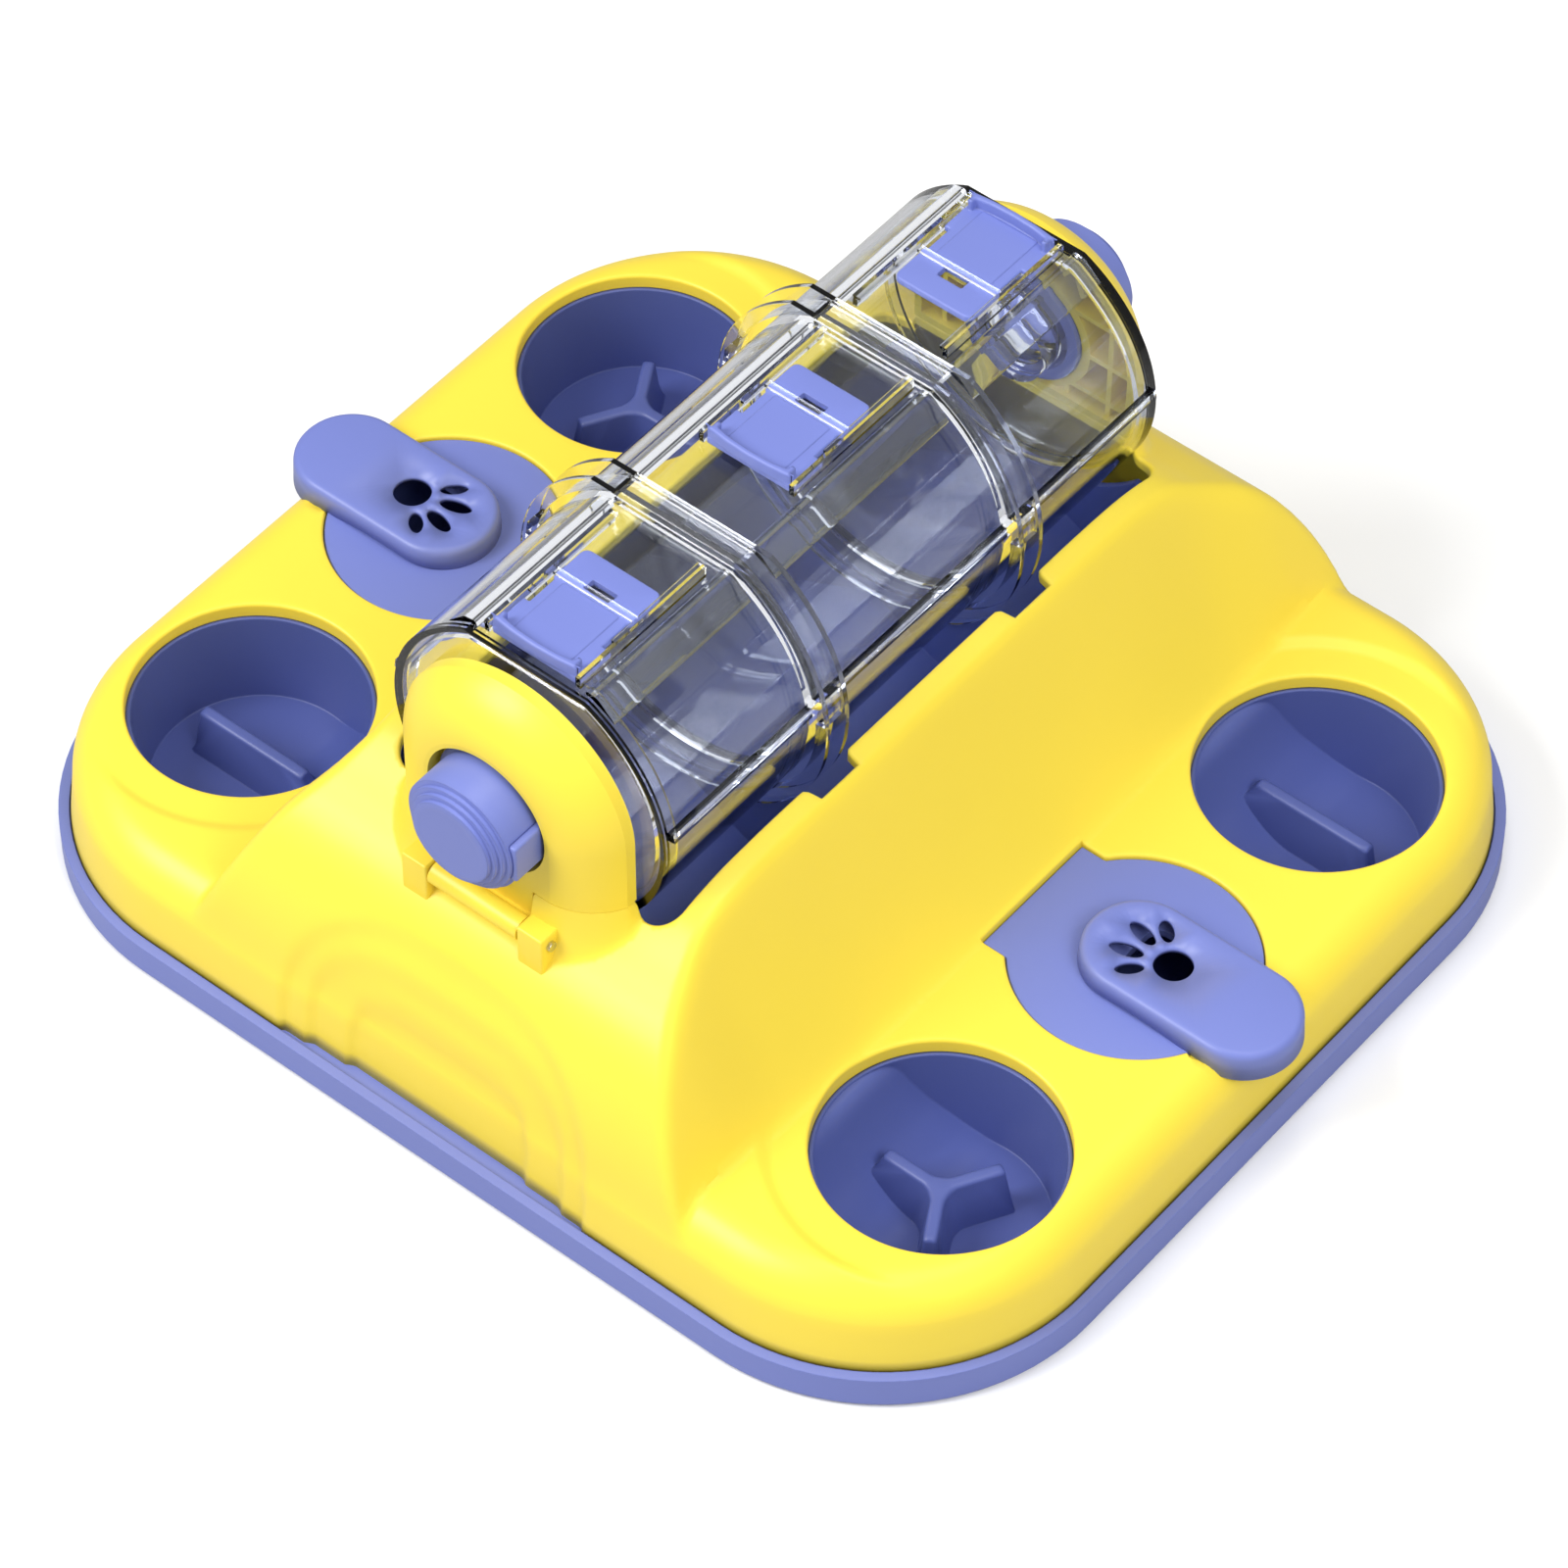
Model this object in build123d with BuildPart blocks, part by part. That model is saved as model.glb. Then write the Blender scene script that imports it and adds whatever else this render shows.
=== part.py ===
"""Dog puzzle feeder: a tray and cover with four open cups, two lidded bins and a turning treat drum.

The frame has its origin at the centre of the footprint, on the surface that the feet stand on.
X runs along the longer side, Y along the drum's axis, from the front end to the rear, and Z up.
All sizes are in millimetres.
"""
import os
from math import cos, radians, sin, sqrt, tan

from build123d import *

os.makedirs("parts", exist_ok=True)

# Clearances
slide_gap = 0.3  # between faces that slide past each other or drop in
pin_gap = 0.05  # radial, round a pin in its hole
drum_gap = 1.5  # between the turning drum and what stands still

# Tray
tray_length = 340.0
tray_width = 301.4
tray_corner = 69.5
tray_edge_radius = 1.2
rim_height = 12.0
rim_wall = 3.0
ledge_drop = 1.6
ledge_width = 9.0
tray_wall = 2.4
floor_thickness = 2.4

# Feet and screws
foot_height = 1.0
foot_recess = 0.8
foot_radius = 8.0
foot_edge_x = 45.0  # from the tray's edge to a foot's centre
foot_edge_y = 45.7
screw_radius = 1.5
screw_length = 12.0
screw_head_radius = 3.0
screw_head_height = 1.3
boss_radius = 4.0

# Cover
deck_height = 38.1
cover_wall = 2.6
cover_side_taper = 6.0
shoulder_radius = 12.5

# Open cups
well_edge_x = 49.5  # from the tray's edge to a cup's axis
well_edge_y = 68.8
well_x = tray_length / 2 - well_edge_x
well_y = tray_width / 2 - well_edge_y
well_radius = 34.5
well_lip_depth = 4.6
cup_wall = 1.8
cup_floor = 1.4
chute_run = 20.0
rib_height = 16.5
rib_top_width = 4.0
rib_taper = 8.0
rib_bar_length = 38.0
rib_arm_length = 18.0

# Drum
drum_axis_height = 116.0
drum_radius = 45.5
drum_wall = 2.0
drum_half_length = 100.2
facet_drop = 4.5  # the doors' flat lies this much inside the drum's radius
facet_height = drum_radius - facet_drop
seam_angle = 8.0
seam_rail_height = 2.0
seam_rail_width = 3.0
ring_centre_y = 40.5
ring_length = 9.5
ring_band = 2.3
ring_flange_height = 6.3
ring_flange_facet_height = 3.5
ring_flange_thickness = 1.6
ring_lug_width = 9.0
ring_lug_height = 5.3
ring_notch_gap = 3.0
partition_thickness = 2.0
end_disc_thickness = 2.3
spigot_length = 4.0
spigot_wall = 1.6
hub_radius = 13.0
hub_length = 8.5
hub_lip = 1.0

# Sliding doors
door_length = 36.0
door_half_width = 14.0
door_thickness = 2.0
door_travel = 13.0
door_tongue_half_width = 11.0
door_tongue_length = 12.0
door_tongue_hole = 5.0
door_lip_height = 3.6
door_lip_thickness = 1.8
door_notch_length = 11.0
door_notch_depth = 1.6
window_length = 15.0
window_half_width = 10.5
guide_wall = 1.6
guide_lip = 1.0
bar_offset = 24.5
bar_width = 2.0
front_door_inset = 1.2  # from the drum shell's end to a door's lip
rear_door_inset = 2.2
middle_lip_y = -14.5

# End brackets, hinges and knobs
bracket_half_width = 37.2
bracket_depth = 15.0
bracket_flat_radius = 21.0
bracket_bulge_x = 31.5
bracket_bulge_drop = 4.4
bracket_shoulder_drop = 11.5
bracket_foot_drop = 21.0  # from the drum's axis down to a bracket's foot
bracket_wall = 2.4
bracket_rib = 1.6
bracket_rib_pitch = 14.0
hinge_drop = 32.0  # from the drum's axis down to a hinge pin
hinge_reach = 4.0
hinge_pin_radius = 1.5
hinge_pin_half_length = 25.0
knuckle_radius = 3.4
knuckle_half_width = 15.0
tongue_thickness = 3.0
lug_inner_x = 15.4
lug_outer_x = 24.0
lug_bottom = 73.0
lug_top = 88.0
pedestal_bottom = 46.0
pedestal_flare = 12.0
knob_radius = 17.1
knob_hole_radius = 19.7
knob_hole_depth = 6.0
knob_face_radius = 12.7
knob_length = 13.8
knob_steps = 3
knob_step_depth = 1.2
knob_travel = 4.0
knob_flange_radius = 18.2
knob_flange_thickness = 1.6
nose_root_radius = 10.0
nose_tip_radius = 3.0
nose_gap = 0.6
knob_key_radius = 18.1
knob_key_length = 8.0

# Hump that carries the drum, with heights down its end and distances from the end's foot
hump_height = 98.5
hump_crest_half_width = 46.5
hump_top_half_width = 54.3
hump_top_fall = 1.5
hump_foot_overlap = 0.3
hump_foot_half_width = well_x - well_radius + hump_foot_overlap
hump_end_narrowing = 3.8
hump_side_hollow = 2.5
hump_end_hollow = 0.8
hump_flat_half_length = 66.0
hump_end_foot_y = tray_width / 2 - 3.7
hump_end_slope_y = hump_end_foot_y - 47.0
hump_end_slope_z = 91.6
hump_end_mid_y = hump_end_foot_y - 36.0
hump_end_mid_z = 85.2
hump_end_shoulder_y = hump_end_foot_y - 24.2
hump_end_shoulder_z = 78.2
hump_end_face_y = hump_end_foot_y - 11.0
hump_end_face_z = 61.3
hump_end_low_y = hump_end_foot_y - 3.7
hump_end_low_z = 39.3
arch_half_widths = (54.0, 45.4, 32.0)
arch_tops = (68.0, 55.7, 41.1)
arch_rise = 0.55
arch_step = 1.4
slot_side_gap = 2.0
slot_corner = 8.0

# Trough under the drum, and its chutes into the cups
trough_ridge = 60.0
trough_wall = 2.0
chute_top = 20.0
chute_half_width = 17.0
divider_half_width = 44.0
divider_top = 80.0

# Lidded bins
bin_edge_x = 49.0  # from the tray's edge to a bin's axis
bin_x = tray_length / 2 - bin_edge_x
bin_radius = 31.0
bin_flange_thickness = 2.0
bin_flange_overlap = 1.0
lid_radius = 34.2
lid_thickness = 2.5
lid_sink = 1.0
lid_hinge_gap = 0.2
lid_inner_x = hump_foot_half_width + lid_hinge_gap
lid_tail_half_width = 21.5
lid_tail_fillet = 3.0
lid_trunnion_radius = 1.0
lid_trunnion_length = 2.0
handle_inner_reach = 15.0
handle_overhang = 3.0
handle_inner_x = bin_x - handle_inner_reach
handle_outer_x = tray_length / 2 + handle_overhang
handle_half_width = 16.5
handle_top = 44.0
handle_edge_radius = 1.5
handle_floor = 2.0
handle_outer_drop = 2.3
handle_side_gap = 0.6
paw_reach = 12.4
paw_x = bin_x + paw_reach
paw_pad_radius = 5.5
toe_reach = 11.5
toe_angles = (-42.0, -15.0, 15.0, 42.0)
toe_long_radius = 4.0
toe_short_radius = 2.0

# Worked-out levels
floor_top = foot_height + floor_thickness
ledge_z = rim_height - ledge_drop
cover_base_half_x = tray_length / 2 - rim_wall - slide_gap
cover_base_half_y = tray_width / 2 - rim_wall - slide_gap
cover_corner = tray_corner - rim_wall - slide_gap
deck_underside = deck_height - cover_wall
lip_bottom = deck_height - well_lip_depth
lid_top = deck_height - lid_sink
lid_bottom = lid_top - lid_thickness
bin_flange_top = lid_bottom - slide_gap
drum_inner_radius = drum_radius - drum_wall
facet_z = drum_axis_height + facet_height
drum_end_y = drum_half_length + end_disc_thickness
hub_end_y = drum_end_y + hub_lip
ring_outer_radius = drum_radius + ring_flange_height
front_lip_y = front_door_inset - drum_half_length
rear_lip_y = drum_half_length - rear_door_inset
bracket_back_y = drum_end_y + drum_gap
bracket_front_y = bracket_back_y + bracket_depth
bracket_base_height = drum_axis_height - bracket_foot_drop
hinge_y = bracket_front_y + hinge_reach
hinge_height = drum_axis_height - hinge_drop
slot_half_width = drum_radius + slot_side_gap
trough_half_length = bracket_back_y
foot_spacing_x = tray_length - 2 * foot_edge_x
foot_spacing_y = tray_width - 2 * foot_edge_y
bracket_inside = bracket_depth - bracket_wall
knob_guide_length = bracket_inside - knob_flange_thickness - knob_travel - slide_gap
screw_y = (lid_radius + bin_flange_overlap + well_y - well_radius - cup_wall) / 2
nose_length = nose_root_radius - nose_tip_radius

ENDS = (("front", -1), ("rear", 1))
SIDES = (("left", -1), ("right", 1))
WELLS = (
    ("front_left", -1, -1, 2),
    ("front_right", 1, -1, 3),
    ("rear_left", -1, 1, 3),
    ("rear_right", 1, 1, 2),
)


def end_plane(side, distance, height=drum_axis_height):
    """Upright plane facing out of one end, its local Y up, so the two ends are half a turn apart."""
    return Plane(origin=(0, side * distance, height), x_dir=(-side, 0, 0), z_dir=(0, side, 0))


def save(piece, name):
    """Label a finished piece and write it as its own STEP file."""
    piece.part.label = name
    export_step(piece.part, f"parts/{name}.step")


# --- Cover -----------------------------------------------------------------------------------


def hump_form(inset):
    """Hump of the cover, made smaller all round by the inset, standing on the tray's ledge."""
    side_inset = inset * 1.2
    top_z = hump_height - inset
    crest_x = hump_crest_half_width - side_inset
    edge_x = hump_top_half_width - side_inset
    edge_z = top_z - hump_top_fall
    end_foot_half_width = hump_foot_half_width - hump_end_narrowing
    with BuildPart() as form:
        for y, foot_half_width, hollow in (
            (-hump_end_foot_y, end_foot_half_width, hump_end_hollow),
            (0, hump_foot_half_width, hump_side_hollow),
            (hump_end_foot_y, end_foot_half_width, hump_end_hollow),
        ):
            foot_x = foot_half_width - side_inset
            hollow_x = (edge_x + foot_x) / 2 - hollow
            hollow_z = (edge_z + deck_height) / 2 - hollow
            with BuildSketch(Plane.XZ.offset(-y)):
                with BuildLine():
                    Line((-crest_x, top_z), (crest_x, top_z))
                    Line((crest_x, top_z), (edge_x, edge_z))
                    ThreePointArc((edge_x, edge_z), (hollow_x, hollow_z), (foot_x, deck_height))
                    Line((foot_x, deck_height), (foot_x, ledge_z))
                    Line((foot_x, ledge_z), (-foot_x, ledge_z))
                    Line((-foot_x, ledge_z), (-foot_x, deck_height))
                    ThreePointArc((-foot_x, deck_height), (-hollow_x, hollow_z), (-edge_x, edge_z))
                    Line((-edge_x, edge_z), (-crest_x, top_z))
                make_face()
        loft()
        with BuildSketch(Plane.YZ):
            with BuildLine():
                Spline(
                    (hump_flat_half_length, top_z),
                    (hump_end_slope_y - inset / 2, hump_end_slope_z - inset),
                    (hump_end_mid_y - inset / 2, hump_end_mid_z - inset),
                    (hump_end_shoulder_y - inset, hump_end_shoulder_z - inset),
                    (hump_end_face_y - side_inset, hump_end_face_z - inset / 2),
                    (hump_end_low_y - side_inset, hump_end_low_z),
                    (hump_end_foot_y - side_inset, ledge_z),
                    tangents=((1, 0), (0.1, -1)),
                )
                Line((hump_end_foot_y - side_inset, ledge_z), (0, ledge_z))
                Line((0, top_z), (hump_flat_half_length, top_z))
                mirror(about=Plane.YZ)
            make_face()
        extrude(amount=hump_foot_half_width * 2, both=True, mode=Mode.INTERSECT)
    return form.part


def dome_profile(inset):
    """Right half of an end bracket's plan at the drum's axis, with the drum's end below it."""
    edge_x = bracket_half_width - inset
    face_y = bracket_front_y - inset
    with BuildSketch() as profile:
        with BuildLine():
            Polyline(
                (0, face_y),
                (0, bracket_back_y),
                (edge_x, bracket_back_y),
                (edge_x, face_y - bracket_shoulder_drop),
            )
            ThreePointArc(
                (edge_x, face_y - bracket_shoulder_drop),
                (bracket_bulge_x - inset / 2, face_y - bracket_bulge_drop),
                (bracket_flat_radius, face_y),
            )
            Line((bracket_flat_radius, face_y), (0, face_y))
        make_face()
    return profile.sketch


def pedestal_form(side, inset):
    """Block under one end bracket, flaring down into the end of the hump."""
    half_profile = dome_profile(inset)
    top_z = bracket_base_height - inset
    with BuildPart() as form:
        with BuildSketch(Plane(origin=(0, 0, top_z), x_dir=(side, 0, 0), z_dir=(0, 0, 1))):
            add(half_profile)
            mirror(about=Plane.YZ)
        extrude(amount=pedestal_bottom - top_z, taper=-pedestal_flare)
        # The side towards the drum stays upright
        with BuildSketch(end_plane(side, bracket_back_y + inset, 0)):
            with Locations((0, top_z / 2)):
                Rectangle(4 * bracket_half_width, top_z)
        extrude(amount=2 * bracket_depth + bracket_half_width, mode=Mode.INTERSECT)
    return form.part


def deck_form(inset):
    """Low rounded box of the cover, with its broad rounded shoulder."""
    with BuildPart() as form:
        with BuildSketch(Plane.XY.offset(ledge_z)):
            half_x = cover_base_half_x - inset
            half_y = cover_base_half_y - inset
            RectangleRounded(2 * half_x, 2 * half_y, cover_corner - inset)
        extrude(amount=deck_height - inset - ledge_z, taper=cover_side_taper)
        fillet(form.edges().group_by(Axis.Z)[-1], shoulder_radius - inset)
    return form.part


def lid_plan(side, clearance):
    """Plan of a lid: a disc with a square tail that reaches in to the hinge line."""
    inner_x = lid_inner_x - clearance
    with BuildSketch() as plan:
        with Locations((side * bin_x, 0)):
            Circle(lid_radius + clearance)
        with Locations((side * (inner_x + bin_x) / 2, 0)):
            Rectangle(bin_x - inner_x, 2 * (lid_tail_half_width + clearance))
        junctions = plan.vertices().filter_by(lambda v: inner_x + 1 < abs(v.X) < bin_x)
        fillet(junctions, lid_tail_fillet)
    return plan.sketch


def handle_plan(side, clearance):
    """Plan of a lid's handle: a stadium that reaches out over the shoulder."""
    with BuildSketch() as plan:
        with Locations((side * (handle_inner_x + handle_outer_x) / 2, 0)):
            SlotOverall(
                handle_outer_x - handle_inner_x + 2 * clearance,
                2 * (handle_half_width + clearance),
            )
    return plan.sketch


def cover_form(inset):
    """Whole outside of the cover, made smaller by the inset, with the arches pressed into its ends.

    Each arch is pressed in one step more than the one round it: what lies in front of the form moved
    inwards by that depth is cut away.
    """
    with BuildPart() as whole:
        add(deck_form(inset))
        add(hump_form(inset))
        for _, side in ENDS:
            add(pedestal_form(side, inset))
    form = whole.part
    for _, side in ENDS:
        for k, (half_width, top) in enumerate(zip(arch_half_widths, arch_tops)):
            depth = (k + 1) * arch_step
            moved = whole.part.moved(Location((0, -side * depth, 0)))
            spring_height = top - half_width * arch_rise
            with BuildPart() as cutter:
                with BuildSketch(end_plane(side, bracket_front_y, 0)):
                    with Locations((0, spring_height)):
                        Ellipse(half_width + inset, half_width * arch_rise + inset)
                    with Locations((0, spring_height / 2)):
                        Rectangle(2 * (half_width + inset), spring_height)
                extrude(amount=tray_width / 2 - bracket_front_y)
                add(moved, mode=Mode.SUBTRACT)
            with BuildPart() as pressed:
                add(form)
                add(cutter.part, mode=Mode.SUBTRACT)
            form = pressed.part
    return form


cover_outside = cover_form(0)
cover_inside = cover_form(cover_wall)
recess_plans = [lid_plan(side, slide_gap) for _, side in SIDES]
dip_plans = [handle_plan(side, handle_side_gap) for _, side in SIDES]
hinge_axis_z = lid_bottom + lid_thickness / 2
lid_axis_x = lid_inner_x + lid_thickness / 2
notch_half_width = ring_outer_radius + drum_gap / 2
pocket_floor = hinge_height - knuckle_radius - 2 * slide_gap
pocket_reach = sqrt((hinge_y - bracket_front_y + tongue_thickness) ** 2 + knuckle_radius**2)
pocket_back_y = hinge_y - pocket_reach - slide_gap

with BuildPart() as top_cover:
    add(cover_outside)
    add(cover_inside, mode=Mode.SUBTRACT)
    # Round mouths of the open cups, each with a short lip that hangs down to the cup's edge
    with BuildSketch(Plane.XY.offset(lip_bottom)):
        with GridLocations(2 * well_x, 2 * well_y, 2, 2):
            Circle(well_radius + cup_wall)
    extrude(amount=deck_underside - lip_bottom + cover_wall / 2)
    with BuildSketch(Plane.XY.offset(lip_bottom)):
        with GridLocations(2 * well_x, 2 * well_y, 2, 2):
            Circle(well_radius)
    extrude(amount=deck_height, mode=Mode.SUBTRACT)
    # Recess of each lid, and the dip that its handle lies in
    with BuildSketch(Plane.XY.offset(bin_flange_top - bin_flange_thickness)):
        for plan in recess_plans:
            add(plan)
    extrude(amount=deck_height, mode=Mode.SUBTRACT)
    with BuildSketch(Plane.XY.offset(lid_bottom + handle_floor)):
        for plan in dip_plans:
            add(plan)
    extrude(amount=deck_height, mode=Mode.SUBTRACT)
    # Slot for the drum, wider where the rings turn
    with BuildSketch(Plane.XY.offset(deck_height)):
        RectangleRounded(2 * slot_half_width, 2 * bracket_back_y, slot_corner)
        with GridLocations(0, 2 * ring_centre_y, 1, 2):
            Rectangle(2 * notch_half_width, ring_length + 2 * ring_notch_gap)
    extrude(amount=hump_height, mode=Mode.SUBTRACT)
    # Bosses for the screws
    with BuildSketch(Plane.XY.offset(floor_top)):
        with GridLocations(2 * well_x, 2 * screw_y, 2, 2):
            Circle(boss_radius)
    extrude(amount=deck_underside - floor_top + cover_wall / 2)
    with BuildSketch(Plane.XY.offset(floor_top)):
        with GridLocations(2 * well_x, 2 * screw_y, 2, 2):
            Circle(screw_radius + pin_gap)
    extrude(amount=screw_length + slide_gap, mode=Mode.SUBTRACT)
    # Bearings of the lids' trunnions
    for _, side in SIDES:
        with BuildSketch(Plane.XZ):
            with Locations((side * lid_axis_x, hinge_axis_z)):
                Circle(lid_trunnion_radius + pin_gap)
        extrude(
            amount=lid_tail_half_width + lid_trunnion_length + slide_gap,
            both=True,
            mode=Mode.SUBTRACT,
        )
    # Lugs of the end hinges, a pocket for each bracket's tongue, and the pins' holes
    for _, side in ENDS:
        with BuildSketch(end_plane(side, bracket_front_y - bracket_wall - tongue_thickness, 0)):
            with Locations((0, (lug_bottom + bracket_base_height) / 2)):
                Rectangle(2 * lug_outer_x, bracket_base_height - lug_bottom)
        extrude(amount=bracket_wall + tongue_thickness)
        with BuildSketch(end_plane(side, bracket_front_y - bracket_wall, 0)):
            with Locations((0, (lug_bottom + lug_top) / 2)):
                Rectangle(2 * lug_outer_x, lug_top - lug_bottom)
                Rectangle(2 * lug_inner_x, lug_top - lug_bottom, mode=Mode.SUBTRACT)
        extrude(amount=hinge_y + knuckle_radius - bracket_front_y + bracket_wall)
        with BuildSketch(end_plane(side, pocket_back_y, 0)):
            with Locations((0, (pocket_floor + bracket_base_height + drum_gap) / 2)):
                Rectangle(2 * lug_inner_x, bracket_base_height + drum_gap - pocket_floor)
        extrude(amount=hinge_y - pocket_back_y + 2 * knuckle_radius, mode=Mode.SUBTRACT)
        with BuildSketch(Plane.YZ):
            with Locations((side * hinge_y, hinge_height)):
                Circle(hinge_pin_radius + pin_gap)
        extrude(amount=hinge_pin_half_length, both=True, mode=Mode.SUBTRACT)
save(top_cover, "top_cover")

# --- Tray, feet and screws -------------------------------------------------------------------

with BuildPart() as base_tray:
    with BuildSketch(Plane.XY.offset(foot_height)):
        RectangleRounded(tray_length, tray_width, tray_corner)
    extrude(amount=rim_height - foot_height)
    fillet(base_tray.edges().group_by(Axis.Z)[0], tray_edge_radius)
    # Rim, ledge for the cover inside it, and the sunken floor
    for inset, level in ((rim_wall, ledge_z), (rim_wall + ledge_width, floor_top)):
        with BuildSketch(Plane.XY.offset(level)):
            RectangleRounded(tray_length - 2 * inset, tray_width - 2 * inset, tray_corner - inset)
        extrude(amount=rim_height, mode=Mode.SUBTRACT)
    # The ledge is hollow from below
    groove_outer = rim_wall
    groove_inner = rim_wall + ledge_width - tray_wall
    with BuildSketch(Plane.XY.offset(foot_height)):
        RectangleRounded(
            tray_length - 2 * groove_outer, tray_width - 2 * groove_outer, tray_corner - groove_outer
        )
        RectangleRounded(
            tray_length - 2 * groove_inner,
            tray_width - 2 * groove_inner,
            tray_corner - groove_inner,
            mode=Mode.SUBTRACT,
        )
    extrude(amount=ledge_z - tray_wall - foot_height, mode=Mode.SUBTRACT)
    # Recesses for the feet
    with BuildSketch(Plane.XY.offset(foot_height)):
        with GridLocations(foot_spacing_x, foot_spacing_y, 2, 2):
            Circle(foot_radius + slide_gap / 2)
    extrude(amount=foot_recess, mode=Mode.SUBTRACT)
    # Screw holes, with the heads let in from below
    with BuildSketch(Plane.XY.offset(foot_height)):
        with GridLocations(2 * well_x, 2 * screw_y, 2, 2):
            Circle(screw_head_radius + slide_gap / 2)
    extrude(amount=screw_head_height, mode=Mode.SUBTRACT)
    with BuildSketch(Plane.XY.offset(foot_height)):
        with GridLocations(2 * well_x, 2 * screw_y, 2, 2):
            Circle(screw_radius + pin_gap)
    extrude(amount=floor_thickness, mode=Mode.SUBTRACT)
save(base_tray, "base_tray")

for end, end_side in ENDS:
    for hand, hand_side in SIDES:
        with BuildPart() as foot:
            with BuildSketch():
                with Locations((hand_side * foot_spacing_x / 2, end_side * foot_spacing_y / 2)):
                    Circle(foot_radius)
            extrude(amount=foot_height + foot_recess)
            chamfer(foot.edges().group_by(Axis.Z)[0], foot_height / 2)
        save(foot, f"foot_{end}_{hand}")

with BuildPart() as cover_screws:
    with BuildSketch(Plane.XY.offset(foot_height)):
        with GridLocations(2 * well_x, 2 * screw_y, 2, 2):
            Circle(screw_head_radius)
    extrude(amount=screw_head_height)
    with BuildSketch(Plane.XY.offset(foot_height + screw_head_height)):
        with GridLocations(2 * well_x, 2 * screw_y, 2, 2):
            Circle(screw_radius)
    extrude(amount=screw_length)
save(cover_screws, "cover_screws")

# --- Cups, bins and trough -------------------------------------------------------------------


def rib_arm(x, y, length, angle):
    """Raised rib on a cup's floor, from a point out along an angle, narrower at the top."""
    with BuildPart() as arm:
        with BuildSketch(Plane.XY.offset(floor_top + cup_floor / 2)):
            base_width = rib_top_width + 2 * rib_height * tan(radians(rib_taper))
            with Locations(Location((x, y, 0), (0, 0, angle))):
                with Locations((length / 2, 0)):
                    Rectangle(length, base_width)
        extrude(amount=rib_height, taper=rib_taper)
    return arm.part


for place, x_side, y_side, arm_count in WELLS:
    cup_x = x_side * well_x
    cup_y = y_side * well_y
    if arm_count == 2:
        arms = [rib_arm(cup_x - rib_bar_length / 2, cup_y, rib_bar_length, 0)]
    else:
        first_angle = 60 if x_side > 0 else 0
        arms = [rib_arm(cup_x, cup_y, rib_arm_length, first_angle + 120 * k) for k in range(3)]
    with BuildPart() as cup:
        with BuildSketch(Plane.XY.offset(floor_top)):
            with Locations((cup_x, cup_y)):
                Circle(well_radius + cup_wall)
        extrude(amount=lip_bottom - floor_top)
        with BuildSketch(Plane.XY.offset(floor_top + cup_floor)):
            with Locations((cup_x, cup_y)):
                Circle(well_radius)
        extrude(amount=lip_bottom, mode=Mode.SUBTRACT)
        # Ramp down from the drum's side
        with BuildSketch(Plane.XZ.offset(-cup_y)):
            with BuildLine():
                Polyline(
                    (cup_x - x_side * (well_radius + cup_wall), chute_top),
                    (cup_x - x_side * (well_radius - chute_run), floor_top + cup_floor / 2),
                    (cup_x - x_side * (well_radius + cup_wall), floor_top + cup_floor / 2),
                    close=True,
                )
            make_face()
        extrude(amount=well_radius, both=True)
        with BuildSketch(Plane.XY.offset(floor_top)):
            with Locations((cup_x, cup_y)):
                Circle(well_radius + cup_wall)
        extrude(amount=lip_bottom - floor_top, mode=Mode.INTERSECT)
        with BuildSketch(Plane.XY.offset(chute_top)):
            with Locations((cup_x - x_side * well_radius, cup_y)):
                Rectangle(2 * chute_half_width / 2, 2 * chute_half_width)
        extrude(amount=lip_bottom, mode=Mode.SUBTRACT)
        for arm in arms:
            add(arm)
    save(cup, f"well_cup_{place}")

for hand, side in SIDES:
    flange_plan = lid_plan(side, bin_flange_overlap)
    with BuildPart() as bin_cup:
        with BuildSketch(Plane.XY.offset(floor_top)):
            with Locations((side * bin_x, 0)):
                Circle(bin_radius + cup_wall)
        extrude(amount=bin_flange_top - floor_top)
        with BuildSketch(Plane.XY.offset(bin_flange_top - bin_flange_thickness)):
            add(flange_plan)
        extrude(amount=bin_flange_thickness)
        with BuildSketch(Plane.XY.offset(floor_top + cup_floor)):
            with Locations((side * bin_x, 0)):
                Circle(bin_radius)
        extrude(amount=deck_height, mode=Mode.SUBTRACT)
    save(bin_cup, f"bin_cup_{hand}")

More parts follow.
